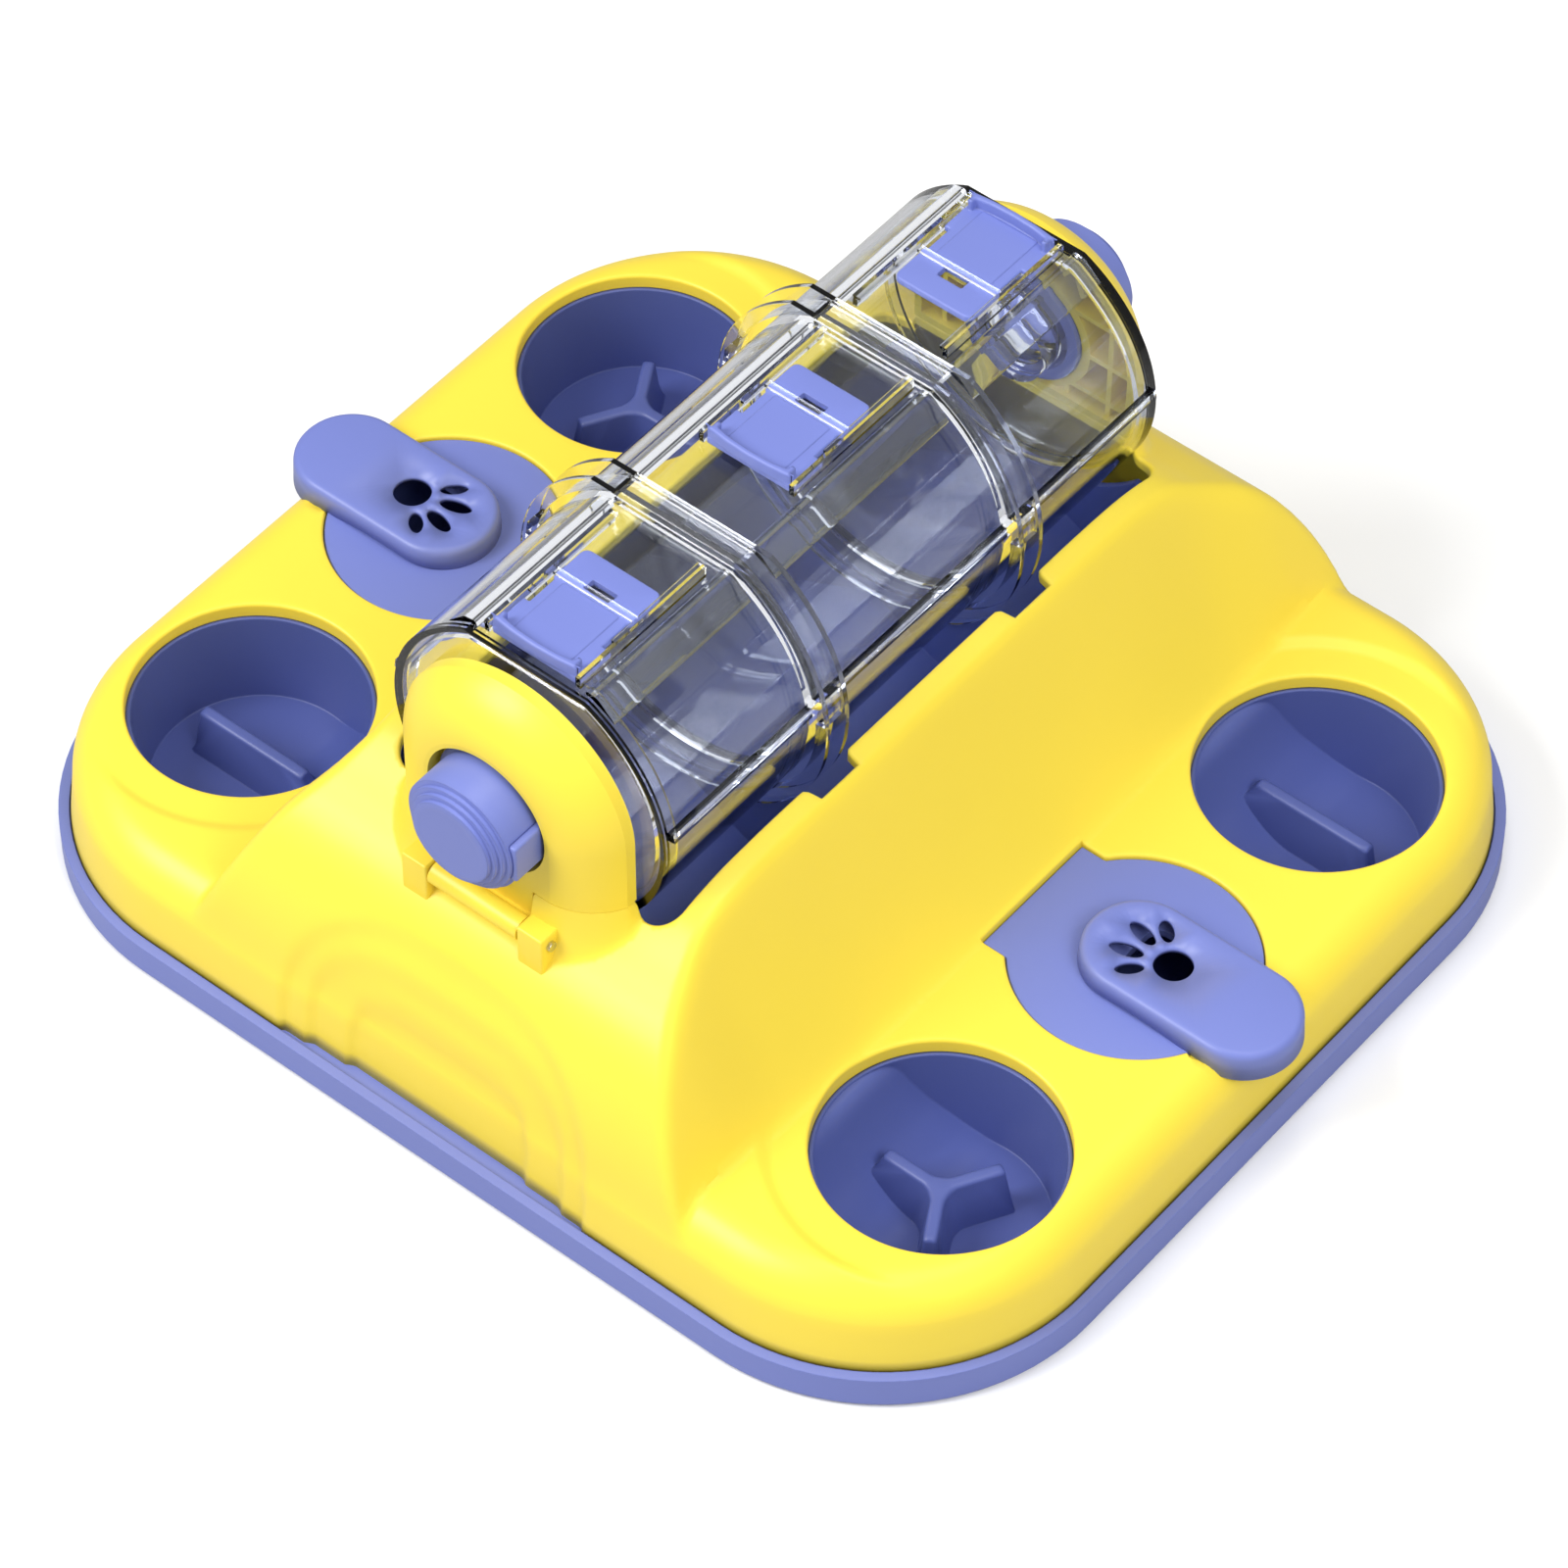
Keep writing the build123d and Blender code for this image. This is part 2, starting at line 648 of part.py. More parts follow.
trough_half_width = well_x - well_radius - cup_wall - slide_gap
divider_reach = ring_outer_radius + drum_gap
with BuildPart() as drum_trough:
    # Two slopes that fall from a ridge under the drum to the cups' chutes, on two long legs
    for slope_side in (-1, 1):
        with BuildSketch(Plane.XZ):
            with BuildLine():
                Polyline(
                    (0, trough_ridge),
                    (slope_side * trough_half_width, chute_top),
                    (slope_side * trough_half_width, chute_top - trough_wall),
                    (0, trough_ridge - trough_wall),
                    close=True,
                )
            make_face()
        extrude(amount=trough_half_length, both=True)
        with BuildSketch(Plane.XZ):
            with Locations((slope_side * trough_half_width / 2, (trough_ridge + floor_top) / 2)):
                Rectangle(trough_wall, trough_ridge - floor_top)
        extrude(amount=trough_half_length, both=True)
    with BuildSketch(Plane.XZ):
        with BuildLine():
            Polyline(
                (0, trough_ridge),
                (trough_half_width, chute_top),
                (trough_half_width, drum_axis_height),
                (-trough_half_width, drum_axis_height),
                (-trough_half_width, chute_top),
                close=True,
            )
        make_face()
    extrude(amount=trough_half_length, both=True, mode=Mode.SUBTRACT)
    # Dividers that keep the chambers' treats apart, and the end walls
    for wall_y in (-trough_half_length, -ring_centre_y, ring_centre_y, trough_half_length):
        with BuildSketch(Plane.XZ.offset(-wall_y - trough_wall / 2)):
            with BuildLine():
                Polyline(
                    (-trough_half_width, chute_top - trough_wall),
                    (-divider_half_width, divider_top),
                    (divider_half_width, divider_top),
                    (trough_half_width, chute_top - trough_wall),
                    close=True,
                )
            make_face()
            with Locations((0, drum_axis_height)):
                Circle(divider_reach, mode=Mode.SUBTRACT)
        extrude(amount=trough_wall)
save(drum_trough, "drum_trough")

# --- Lids ------------------------------------------------------------------------------------

handle_floor_z = lid_bottom + handle_floor + slide_gap
handle_low_z = handle_floor_z - handle_outer_drop
# The lower part starts where the rounded shoulder has fallen clear of it
shoulder_edge_x = cover_base_half_x - (deck_height - ledge_z) * tan(radians(cover_side_taper))
shoulder_start_x = shoulder_edge_x - shoulder_radius * tan(radians((90 - cover_side_taper) / 2))
shoulder_drop = handle_low_z - 2 * slide_gap - (deck_height - shoulder_radius)
handle_step_x = shoulder_start_x + sqrt(shoulder_radius**2 - shoulder_drop**2)
for hand, side in SIDES:
    plate_plan = lid_plan(side, 0)
    stadium_plan = handle_plan(side, 0)
    with BuildPart() as lid:
        with BuildSketch(Plane.XY.offset(handle_floor_z)):
            add(stadium_plan)
        extrude(amount=handle_top - handle_floor_z)
        fillet(lid.edges().group_by(Axis.Z)[-1], handle_edge_radius)
        # The outer end of the handle hangs lower, over the shoulder
        with BuildSketch(Plane.XY.offset(handle_low_z)):
            add(stadium_plan)
            with Locations((side * (handle_outer_x + handle_step_x) / 2, 0)):
                Rectangle(handle_outer_x - handle_step_x, 2 * handle_half_width, mode=Mode.INTERSECT)
        extrude(amount=handle_outer_drop)
        with BuildSketch(Plane.XY.offset(lid_bottom)):
            add(plate_plan)
            with Locations((side * (lid_inner_x + lid_axis_x) / 2, 0)):
                Rectangle(lid_axis_x - lid_inner_x, 3 * lid_tail_half_width, mode=Mode.SUBTRACT)
        extrude(amount=lid_thickness)
        # The hinge edge is round, so that it turns in place between its bearings
        with BuildSketch(Plane.XZ):
            with Locations((side * lid_axis_x, hinge_axis_z)):
                Circle(lid_thickness / 2)
        extrude(amount=lid_tail_half_width, both=True)
        with BuildSketch(Plane.XZ):
            with Locations((side * lid_axis_x, hinge_axis_z)):
                Circle(lid_trunnion_radius)
        extrude(amount=lid_tail_half_width + lid_trunnion_length, both=True)
        # Paw-shaped air holes
        with BuildSketch(Plane.XY.offset(lid_bottom)):
            with Locations((side * paw_x, 0)):
                Circle(paw_pad_radius)
            for toe_angle in toe_angles:
                toe_x = side * (paw_x - toe_reach * cos(radians(toe_angle)))
                toe_y = side * toe_reach * sin(radians(toe_angle))
                with Locations(Location((toe_x, toe_y, 0), (0, 0, -toe_angle))):
                    Ellipse(toe_long_radius, toe_short_radius)
        extrude(amount=handle_top, mode=Mode.SUBTRACT)
    save(lid, f"lid_{hand}")

# --- End brackets, hinge pins and knobs ------------------------------------------------------


def dome_form(side, inset, base_z):
    """Solid of an end bracket: round over the drum's axis and straight down to its foot."""
    half_profile = dome_profile(inset)
    axis_plane = Plane(origin=(0, 0, drum_axis_height), x_dir=(side, 0, 0), z_dir=(0, 0, 1))
    with BuildPart() as form:
        with BuildSketch(axis_plane):
            add(half_profile)
        revolve(axis=Axis((0, 0, drum_axis_height), (0, -side, 0)), revolution_arc=180)
        with BuildSketch(axis_plane):
            add(half_profile)
            mirror(about=Plane.YZ)
        extrude(amount=base_z - drum_axis_height)
    return form.part


def rib_grid_form(side, cavity):
    """Stiffening ribs inside a bracket, with a round boss that the knob's flange slides in."""
    rib_count = int(2 * bracket_half_width / bracket_rib_pitch)
    with BuildPart() as grid:
        with BuildSketch(end_plane(side, bracket_back_y + bracket_rib)):
            with GridLocations(bracket_rib_pitch, 0, rib_count, 1):
                Rectangle(bracket_rib, 2 * bracket_half_width)
            with GridLocations(0, bracket_rib_pitch, 1, rib_count):
                Rectangle(2 * bracket_half_width, bracket_rib)
            Circle(boss_radius_outer)
        extrude(amount=bracket_inside)
        with BuildSketch(end_plane(side, bracket_back_y)):
            Circle(boss_bore_radius)
        extrude(amount=bracket_inside - knob_guide_length, mode=Mode.SUBTRACT)
        add(cavity, mode=Mode.INTERSECT)
    return grid.part


boss_bore_radius = knob_flange_radius + slide_gap
boss_radius_outer = knob_hole_radius + bracket_rib
tongue_low = hinge_height - knuckle_radius
tongue_high = bracket_base_height + bracket_wall

for end, side in ENDS:
    outside = dome_form(side, 0, bracket_base_height)
    cavity = dome_form(side, bracket_wall, bracket_base_height + bracket_wall)
    ribs = rib_grid_form(side, cavity)
    with BuildPart() as bracket:
        add(outside)
        add(cavity, mode=Mode.SUBTRACT)
        add(ribs)
        # Close guide for the knob, and the wider hole in front of it
        with BuildSketch(end_plane(side, bracket_back_y)):
            Circle(knob_radius + pin_gap)
        extrude(amount=bracket_depth, mode=Mode.SUBTRACT)
        with BuildSketch(end_plane(side, bracket_front_y - knob_hole_depth)):
            Circle(knob_hole_radius)
        extrude(amount=knob_hole_depth, mode=Mode.SUBTRACT)
        # Tongue and knuckle of the hinge
        with BuildSketch(end_plane(side, bracket_front_y - tongue_thickness, 0)):
            with Locations((0, (tongue_low + tongue_high) / 2)):
                Rectangle(2 * knuckle_half_width, tongue_high - tongue_low)
        extrude(amount=tongue_thickness)
        with BuildSketch(end_plane(side, bracket_front_y - tongue_thickness, 0)):
            with Locations((0, hinge_height)):
                Rectangle(2 * knuckle_half_width, 2 * hinge_pin_radius)
        extrude(amount=tongue_thickness + hinge_reach)
        with BuildSketch(Plane.YZ):
            with Locations((side * hinge_y, hinge_height)):
                Circle(knuckle_radius)
        extrude(amount=knuckle_half_width, both=True)
        with BuildSketch(Plane.YZ):
            with Locations((side * hinge_y, hinge_height)):
                Circle(hinge_pin_radius + pin_gap)
        extrude(amount=knuckle_half_width, both=True, mode=Mode.SUBTRACT)
    save(bracket, f"end_bracket_{end}")

    with BuildPart() as hinge_pin:
        with BuildSketch(Plane.YZ):
            with Locations((side * hinge_y, hinge_height)):
                Circle(hinge_pin_radius)
        extrude(amount=hinge_pin_half_length, both=True)
    save(hinge_pin, f"hinge_pin_{end}")

    with BuildPart() as knob:
        with BuildSketch(end_plane(side, bracket_back_y)):
            Circle(knob_flange_radius)
        extrude(amount=knob_flange_thickness)
        body_length = bracket_depth + knob_length - knob_steps * knob_step_depth
        with BuildSketch(end_plane(side, bracket_back_y)):
            Circle(knob_radius)
        extrude(amount=body_length)
        for step in range(knob_steps):
            step_y = bracket_back_y + body_length + step * knob_step_depth
            with BuildSketch(end_plane(side, step_y)):
                Circle(knob_radius - (step + 1) * (knob_radius - knob_face_radius) / knob_steps)
            extrude(amount=knob_step_depth)
        # Raised key on the lower side, outside the bracket
        with BuildSketch(end_plane(side, bracket_front_y + slide_gap)):
            with BuildLine():
                Line((0, 0), (0, -knob_key_radius))
                RadiusArc((0, -knob_key_radius), (knob_key_radius, 0), -knob_key_radius)
                Line((knob_key_radius, 0), (0, 0))
            make_face()
        extrude(amount=knob_key_length)
        # Hollow from behind, round a solid stem that ends in the cone the drum turns on
        with BuildSketch(end_plane(side, bracket_back_y)):
            Circle(knob_radius - bracket_wall)
            Circle(nose_root_radius, mode=Mode.SUBTRACT)
        extrude(amount=body_length - bracket_wall, mode=Mode.SUBTRACT)
        with BuildSketch(end_plane(-side, -bracket_back_y)):
            Circle(nose_root_radius)
        extrude(amount=nose_length, taper=45)
    save(knob, f"pivot_knob_{end}")

# --- Drum ------------------------------------------------------------------------------------

drum_plane = Plane(origin=(0, 0, drum_axis_height), x_dir=(1, 0, 0), z_dir=(0, -1, 0))


def drum_face(grow):
    """Cross-section of the drum, grown by an amount: a circle with one flat for the doors."""
    radius = drum_radius + grow
    facet = facet_height + grow
    with BuildSketch() as face:
        Circle(radius)
        with Locations((0, facet + radius)):
            Rectangle(2 * radius, 2 * radius, mode=Mode.SUBTRACT)
    return face.sketch


def seam_rails_plan(grow):
    """Two raised rails along the seam between the drum's shells."""
    reach = drum_radius + seam_rail_height + grow - drum_inner_radius
    with BuildSketch() as plan:
        for angle in (seam_angle, 180 - seam_angle):
            with PolarLocations(drum_inner_radius + reach / 2, 1, start_angle=angle):
                Rectangle(reach, seam_rail_width + 2 * grow)
    return plan.sketch


def upper_sector():
    """Everything above the two seams, as a wedge from the drum's axis."""
    reach = 2 * drum_radius
    rise = reach * tan(radians(seam_angle))
    with BuildSketch() as wedge:
        with BuildLine():
            Polyline((0, 0), (reach, rise), (reach, reach), (-reach, reach), (-reach, rise), close=True)
        make_face()
    return wedge.sketch


outer_face = drum_face(0)
inner_face = drum_face(-drum_wall)
rails_plan = seam_rails_plan(0)
sector = upper_sector()
DOORS = (("front", front_lip_y, 1), ("middle", middle_lip_y, 1), ("rear", rear_lip_y, -1))
door_bottom = facet_z + slide_gap
door_top = door_bottom + door_thickness
guide_length = door_length + door_travel + slide_gap
guide_inner_x = door_half_width + slide_gap
guide_outer_x = guide_inner_x + guide_wall
guide_top = door_top + slide_gap + guide_lip
lip_clear = door_travel + door_lip_thickness + slide_gap

with BuildPart() as upper_shell:
    with BuildSketch(drum_plane):
        add(outer_face)
        add(rails_plan)
        add(inner_face, mode=Mode.SUBTRACT)
        add(sector, mode=Mode.INTERSECT)
    extrude(amount=drum_half_length, both=True)
    for _, lip_y, way in DOORS:
        # Side guides, their overhangs behind the door's lip, and the cross bar
        with BuildSketch(Plane.XY.offset(facet_z)):
            with Locations((0, lip_y + way * guide_length / 2)):
                with GridLocations(guide_inner_x + guide_outer_x, 0, 2, 1):
                    Rectangle(guide_wall, guide_length)
        extrude(amount=guide_top - facet_z)
        with BuildSketch(Plane.XY.offset(door_top + slide_gap)):
            with Locations((0, lip_y + way * (lip_clear + guide_length) / 2)):
                with GridLocations(2 * guide_inner_x - guide_lip, 0, 2, 1):
                    Rectangle(guide_lip, guide_length - lip_clear)
            with Locations((0, lip_y + way * bar_offset)):
                Rectangle(2 * guide_outer_x, bar_width)
        extrude(amount=guide_lip)
        # Treat window under the door
        with BuildSketch(Plane.XY.offset(facet_z - 2 * drum_wall)):
            with Locations((0, lip_y + way * (2 * door_lip_thickness + window_length / 2))):
                Rectangle(2 * window_half_width, window_length)
        extrude(amount=2 * drum_wall, mode=Mode.SUBTRACT)
save(upper_shell, "drum_upper_shell")

with BuildPart() as lower_shell:
    with BuildSketch(drum_plane):
        add(outer_face)
        add(rails_plan)
        add(inner_face, mode=Mode.SUBTRACT)
        add(sector, mode=Mode.SUBTRACT)
    extrude(amount=drum_half_length, both=True)
save(lower_shell, "drum_lower_shell")

partition_face = drum_face(-drum_wall - pin_gap)
ring_bore = drum_face(pin_gap)
ring_band_face = drum_face(ring_band)
ring_flange_face = drum_face(ring_flange_height)
rail_grooves = seam_rails_plan(pin_gap)
for end, side in ENDS:
    with BuildPart() as partition:
        with BuildSketch(end_plane(side, ring_centre_y - partition_thickness / 2)):
            add(partition_face)
        extrude(amount=partition_thickness)
    save(partition, f"drum_partition_{end}")

    with BuildPart() as ring:
        with BuildSketch(end_plane(side, ring_centre_y - ring_length / 2)):
            add(ring_band_face)
        extrude(amount=ring_length)
        flange_pitch = ring_length - ring_flange_thickness
        for flange_side in (-1, 1):
            flange_centre = ring_centre_y + flange_side * flange_pitch / 2
            with BuildSketch(end_plane(side, flange_centre - ring_flange_thickness / 2)):
                add(ring_flange_face)
                with Locations((0, facet_height + ring_flange_facet_height + drum_radius)):
                    Rectangle(4 * drum_radius, 2 * drum_radius, mode=Mode.SUBTRACT)
            extrude(amount=ring_flange_thickness)
        with BuildSketch(end_plane(side, ring_centre_y - ring_length / 2)):
            for angle in (seam_angle, 180 - seam_angle):
                with PolarLocations(drum_radius + ring_lug_height / 2, 1, start_angle=angle):
                    Rectangle(ring_lug_height, ring_lug_width)
        extrude(amount=ring_length)
        with BuildSketch(end_plane(side, ring_centre_y - ring_length / 2)):
            add(ring_bore)
            add(rail_grooves)
        extrude(amount=ring_length, mode=Mode.SUBTRACT)
    save(ring, f"drum_ring_{end}")

    with BuildPart() as end_disc:
        with BuildSketch(end_plane(side, drum_half_length)):
            add(outer_face)
        extrude(amount=end_disc_thickness)
        with BuildSketch(end_plane(side, drum_half_length - spigot_length)):
            add(partition_face)
            offset(amount=-spigot_wall, mode=Mode.SUBTRACT)
        extrude(amount=spigot_length)
        with BuildSketch(end_plane(side, drum_end_y - hub_length)):
            Circle(hub_radius)
        extrude(amount=hub_length + hub_lip)
        dimple_radius = nose_root_radius - (bracket_back_y - hub_end_y) + nose_gap
        with BuildSketch(end_plane(-side, -hub_end_y)):
            Circle(dimple_radius)
        extrude(amount=dimple_radius - nose_tip_radius, taper=45, mode=Mode.SUBTRACT)
    save(end_disc, f"drum_end_{end}")

# --- Sliding doors ---------------------------------------------------------------------------

for place, lip_y, way in DOORS:
    with BuildPart() as door:
        with BuildSketch(Plane.XY.offset(door_bottom)):
            plate_length = door_length - door_tongue_length
            with Locations((0, lip_y + way * plate_length / 2)):
                Rectangle(2 * door_half_width, plate_length)
            with Locations((0, lip_y + way * door_length / 2)):
                Rectangle(2 * door_tongue_half_width, door_length)
            with Locations((0, lip_y + way * (plate_length - door_notch_length / 2))):
                with GridLocations(2 * door_half_width, 0, 2, 1):
                    Rectangle(2 * door_notch_depth, door_notch_length, mode=Mode.SUBTRACT)
            with Locations((0, lip_y + way * (door_length - door_tongue_length / 2))):
                Rectangle(door_tongue_hole, door_tongue_hole, mode=Mode.SUBTRACT)
        extrude(amount=door_thickness)
        with BuildSketch(Plane.XY.offset(door_top)):
            with Locations((0, lip_y + way * door_lip_thickness / 2)):
                Rectangle(2 * door_half_width, door_lip_thickness)
        extrude(amount=door_lip_height)
    save(door, f"door_{place}")
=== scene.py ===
"""Looks of a dog puzzle feeder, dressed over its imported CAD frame.

The sections follow the toy as it is put together: feet and tray, cover, cups and bins, trough and
drum, lids, doors, brackets and knobs. The frame is in metres. The numpy surfaces are worked out in
millimetres, in the same axes, and add_piece turns them into metres.
"""

import bmesh
import bpy
import numpy as np
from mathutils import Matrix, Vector
from mathutils.geometry import delaunay_2d_cdt


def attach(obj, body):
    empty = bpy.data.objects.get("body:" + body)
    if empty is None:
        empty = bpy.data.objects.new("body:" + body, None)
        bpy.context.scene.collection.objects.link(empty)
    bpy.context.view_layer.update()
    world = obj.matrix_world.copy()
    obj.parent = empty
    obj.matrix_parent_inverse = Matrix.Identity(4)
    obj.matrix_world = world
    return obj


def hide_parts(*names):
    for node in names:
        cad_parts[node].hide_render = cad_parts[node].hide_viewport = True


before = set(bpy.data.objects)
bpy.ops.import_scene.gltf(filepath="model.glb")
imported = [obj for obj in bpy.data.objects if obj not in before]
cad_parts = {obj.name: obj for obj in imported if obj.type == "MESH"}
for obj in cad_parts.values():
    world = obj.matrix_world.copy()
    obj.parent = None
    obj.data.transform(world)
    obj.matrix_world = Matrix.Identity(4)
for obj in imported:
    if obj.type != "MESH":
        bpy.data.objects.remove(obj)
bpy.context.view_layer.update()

# --- Camera, lamps and backdrop ----------------------------------------------------------------
# The toy stands on a plain white sweep, lit by large soft lamps from the front left, the front
# right and above. The camera looks down at it over the front right corner with a long lens.
camera_azimuth = np.radians(39.36925)
camera_elevation = np.radians(49.80916)
camera_place = (0.7852575, -0.956183, 1.482295)
camera_lens = 160.636
camera_sensor = 36
lamp_aim = Vector((0, 0, 0.06))
world_light = 0.34
sweep_half = 0.75
sweep_shown = (0.97, 0.97, 0.97, 1)
sweep_bounced = (0.5, 0.5, 0.5, 1)  # what the toy gets back from the floor

camera_data = bpy.data.cameras.new("camera")
camera_data.sensor_width = camera_sensor
camera_data.lens = camera_lens
camera = bpy.data.objects.new("camera", camera_data)
camera.location = camera_place
camera.rotation_euler = (np.pi / 2 - camera_elevation, 0, camera_azimuth)
bpy.context.scene.collection.objects.link(camera)
bpy.context.scene.camera = camera
bpy.context.scene.view_settings.view_transform = "Standard"


def link(tree, start, end):
    """Join an output socket to an input socket."""
    tree.links.new(start, end)


def add_lamp(name, place, size, power, mirrored=True):
    """Square area lamp at a place, turned to face the toy's middle, seen in gloss or not."""
    lamp_data = bpy.data.lights.new(name, "AREA")
    lamp_data.size = size
    lamp_data.energy = power
    lamp = bpy.data.objects.new(name, lamp_data)
    lamp.location = place
    lamp.visible_glossy = mirrored
    lamp.rotation_euler = (lamp_aim - Vector(place)).to_track_quat("-Z", "Y").to_euler()
    bpy.context.scene.collection.objects.link(lamp)


add_lamp("key_lamp", (-0.85, -1.2, 1.5), 1.0, 34)
add_lamp("top_lamp", (0.1, 0.1, 2.0), 1.0, 9)
add_lamp("side_lamp", (1.2, -0.4, 1.4), 0.9, 20, mirrored=False)

world = bpy.data.worlds.new("world")
bpy.context.scene.world = world
world.use_nodes = True
world_tree = world.node_tree
world_background = world_tree.nodes["Background"]
world_background.inputs["Color"].default_value = (1, 1, 1, 1)
ray_kind = world_tree.nodes.new("ShaderNodeLightPath")
shown = world_tree.nodes.new("ShaderNodeMath")
shown.operation = "MAXIMUM"
link(world_tree, ray_kind.outputs["Is Camera Ray"], shown.inputs[0])
link(world_tree, ray_kind.outputs["Is Transmission Ray"], shown.inputs[1])
world_strength = world_tree.nodes.new("ShaderNodeMapRange")
world_strength.inputs["To Min"].default_value = world_light
link(world_tree, shown.outputs["Value"], world_strength.inputs["Value"])
link(world_tree, world_strength.outputs["Result"], world_background.inputs["Strength"])

sweep_paint = bpy.data.materials.new("sweep_paint")
sweep_paint.use_nodes = True
sweep_tree = sweep_paint.node_tree
sweep_shader = sweep_tree.nodes["Principled BSDF"]
sweep_shader.inputs["Roughness"].default_value = 0.9
sweep_seen = sweep_tree.nodes.new("ShaderNodeLightPath")
sweep_tone = sweep_tree.nodes.new("ShaderNodeMix")
sweep_tone.data_type = "RGBA"
sweep_tone.inputs["A"].default_value = sweep_bounced
sweep_tone.inputs["B"].default_value = sweep_shown
link(sweep_tree, sweep_seen.outputs["Is Camera Ray"], sweep_tone.inputs["Factor"])
link(sweep_tree, sweep_tone.outputs["Result"], sweep_shader.inputs["Base Color"])
sweep_data = bpy.data.meshes.new("sweep")
sweep_corners = [
    (-sweep_half, -sweep_half, 0),
    (sweep_half, -sweep_half, 0),
    (sweep_half, sweep_half, 0),
    (-sweep_half, sweep_half, 0),
]
sweep_data.from_pydata(sweep_corners, [], [(0, 1, 2, 3)])
sweep_data.materials.append(sweep_paint)
sweep = bpy.data.objects.new("sweep", sweep_data)
bpy.context.scene.collection.objects.link(sweep)

# --- Feet and tray -----------------------------------------------------------------------------
# The tray is one blue injection moulding with a satin skin. It stands on four soft rubber pads,
# and four screws come up through its floor into the cover.
blue_colour = (0.172, 0.212, 0.555)
rubber_colour = (0.03, 0.03, 0.035)
steel_colour = (0.62, 0.62, 0.64)
edge_round = 0.0006
shade_share = 0.94  # brightness of the plastic's darker clouds
cloud_scale = 14.0


def add_socket(group, name, kind, way, value=None):
    """Named input or output of a shader node group."""
    socket = group.interface.new_socket(name=name, in_out=way, socket_type="NodeSocket" + kind)
    if value is not None:
        socket.default_value = value


def build_moulded_skin():
    """Node group for moulded plastic and rubber.

    Broad clouds shift the colour a little, as a melt's flow does. Fine noise sets the satin
    grain's height, and both change the roughness.
    """
    group = bpy.data.node_groups.new("moulded_skin", "ShaderNodeTree")
    add_socket(group, "Color", "Color", "INPUT", (1, 1, 1, 1))
    add_socket(group, "Shade Color", "Color", "INPUT", (1, 1, 1, 1))
    add_socket(group, "Roughness", "Float", "INPUT", 0.4)
    add_socket(group, "Roughness Spread", "Float", "INPUT", 0.06)
    add_socket(group, "Grain Scale", "Float", "INPUT", 2500.0)
    add_socket(group, "Color", "Color", "OUTPUT")
    add_socket(group, "Roughness", "Float", "OUTPUT")
    add_socket(group, "Height", "Float", "OUTPUT")
    nodes = group.nodes
    inward = nodes.new("NodeGroupInput")
    outward = nodes.new("NodeGroupOutput")
    place = nodes.new("ShaderNodeTexCoord")
    clouds = nodes.new("ShaderNodeTexNoise")
    clouds.inputs["Scale"].default_value = cloud_scale
    clouds.inputs["Detail"].default_value = 2.0
    link(group, place.outputs["Object"], clouds.inputs["Vector"])
    grain = nodes.new("ShaderNodeTexNoise")
    grain.inputs["Detail"].default_value = 1.0
    link(group, place.outputs["Object"], grain.inputs["Vector"])
    link(group, inward.outputs["Grain Scale"], grain.inputs["Scale"])
    tint = nodes.new("ShaderNodeMix")
    tint.data_type = "RGBA"
    link(group, clouds.outputs["Fac"], tint.inputs["Factor"])
    link(group, inward.outputs["Color"], tint.inputs["A"])
    link(group, inward.outputs["Shade Color"], tint.inputs["B"])
    link(group, tint.outputs["Result"], outward.inputs["Color"])
    both = nodes.new("ShaderNodeMath")
    both.operation = "ADD"
    link(group, clouds.outputs["Fac"], both.inputs[0])
    link(group, grain.outputs["Fac"], both.inputs[1])
    centred = nodes.new("ShaderNodeMath")
    centred.operation = "SUBTRACT"
    centred.inputs[1].default_value = 1.0
    link(group, both.outputs["Value"], centred.inputs[0])
    spread = nodes.new("ShaderNodeMath")
    spread.operation = "MULTIPLY_ADD"
    link(group, centred.outputs["Value"], spread.inputs[0])
    link(group, inward.outputs["Roughness Spread"], spread.inputs[1])
    link(group, inward.outputs["Roughness"], spread.inputs[2])
    link(group, spread.outputs["Value"], outward.inputs["Roughness"])
    link(group, grain.outputs["Fac"], outward.inputs["Height"])
    return group


moulded_skin = build_moulded_skin()


def moulded(name, colour, roughness, grain=2500.0, depth=0.00001, edge=0.0):
    """Material of a moulded piece, with how fine and how deep its grain is, and the radius that its
    sharp edges are shaded with."""
    material = bpy.data.materials.new(name)
    material.use_nodes = True
    tree = material.node_tree
    shader = tree.nodes["Principled BSDF"]
    shader.inputs["IOR"].default_value = 1.5
    skin = tree.nodes.new("ShaderNodeGroup")
    skin.node_tree = moulded_skin
    skin.inputs["Color"].default_value = (*colour, 1)
    skin.inputs["Shade Color"].default_value = (*[shade_share * value for value in colour], 1)
    skin.inputs["Roughness"].default_value = roughness
    skin.inputs["Grain Scale"].default_value = grain
    link(tree, skin.outputs["Color"], shader.inputs["Base Color"])
    link(tree, skin.outputs["Roughness"], shader.inputs["Roughness"])
    bump = tree.nodes.new("ShaderNodeBump")
    bump.inputs["Distance"].default_value = depth
    link(tree, skin.outputs["Height"], bump.inputs["Height"])
    link(tree, bump.outputs["Normal"], shader.inputs["Normal"])
    if edge:
        rounding = tree.nodes.new("ShaderNodeBevel")
        rounding.samples = 4
        rounding.inputs["Radius"].default_value = edge
        link(tree, rounding.outputs["Normal"], bump.inputs["Normal"])
    return material


def dress(material, *names):
    """Give CAD nodes their material."""
    for name in names:
        node_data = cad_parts[name].data
        node_data.materials.clear()
        node_data.materials.append(material)


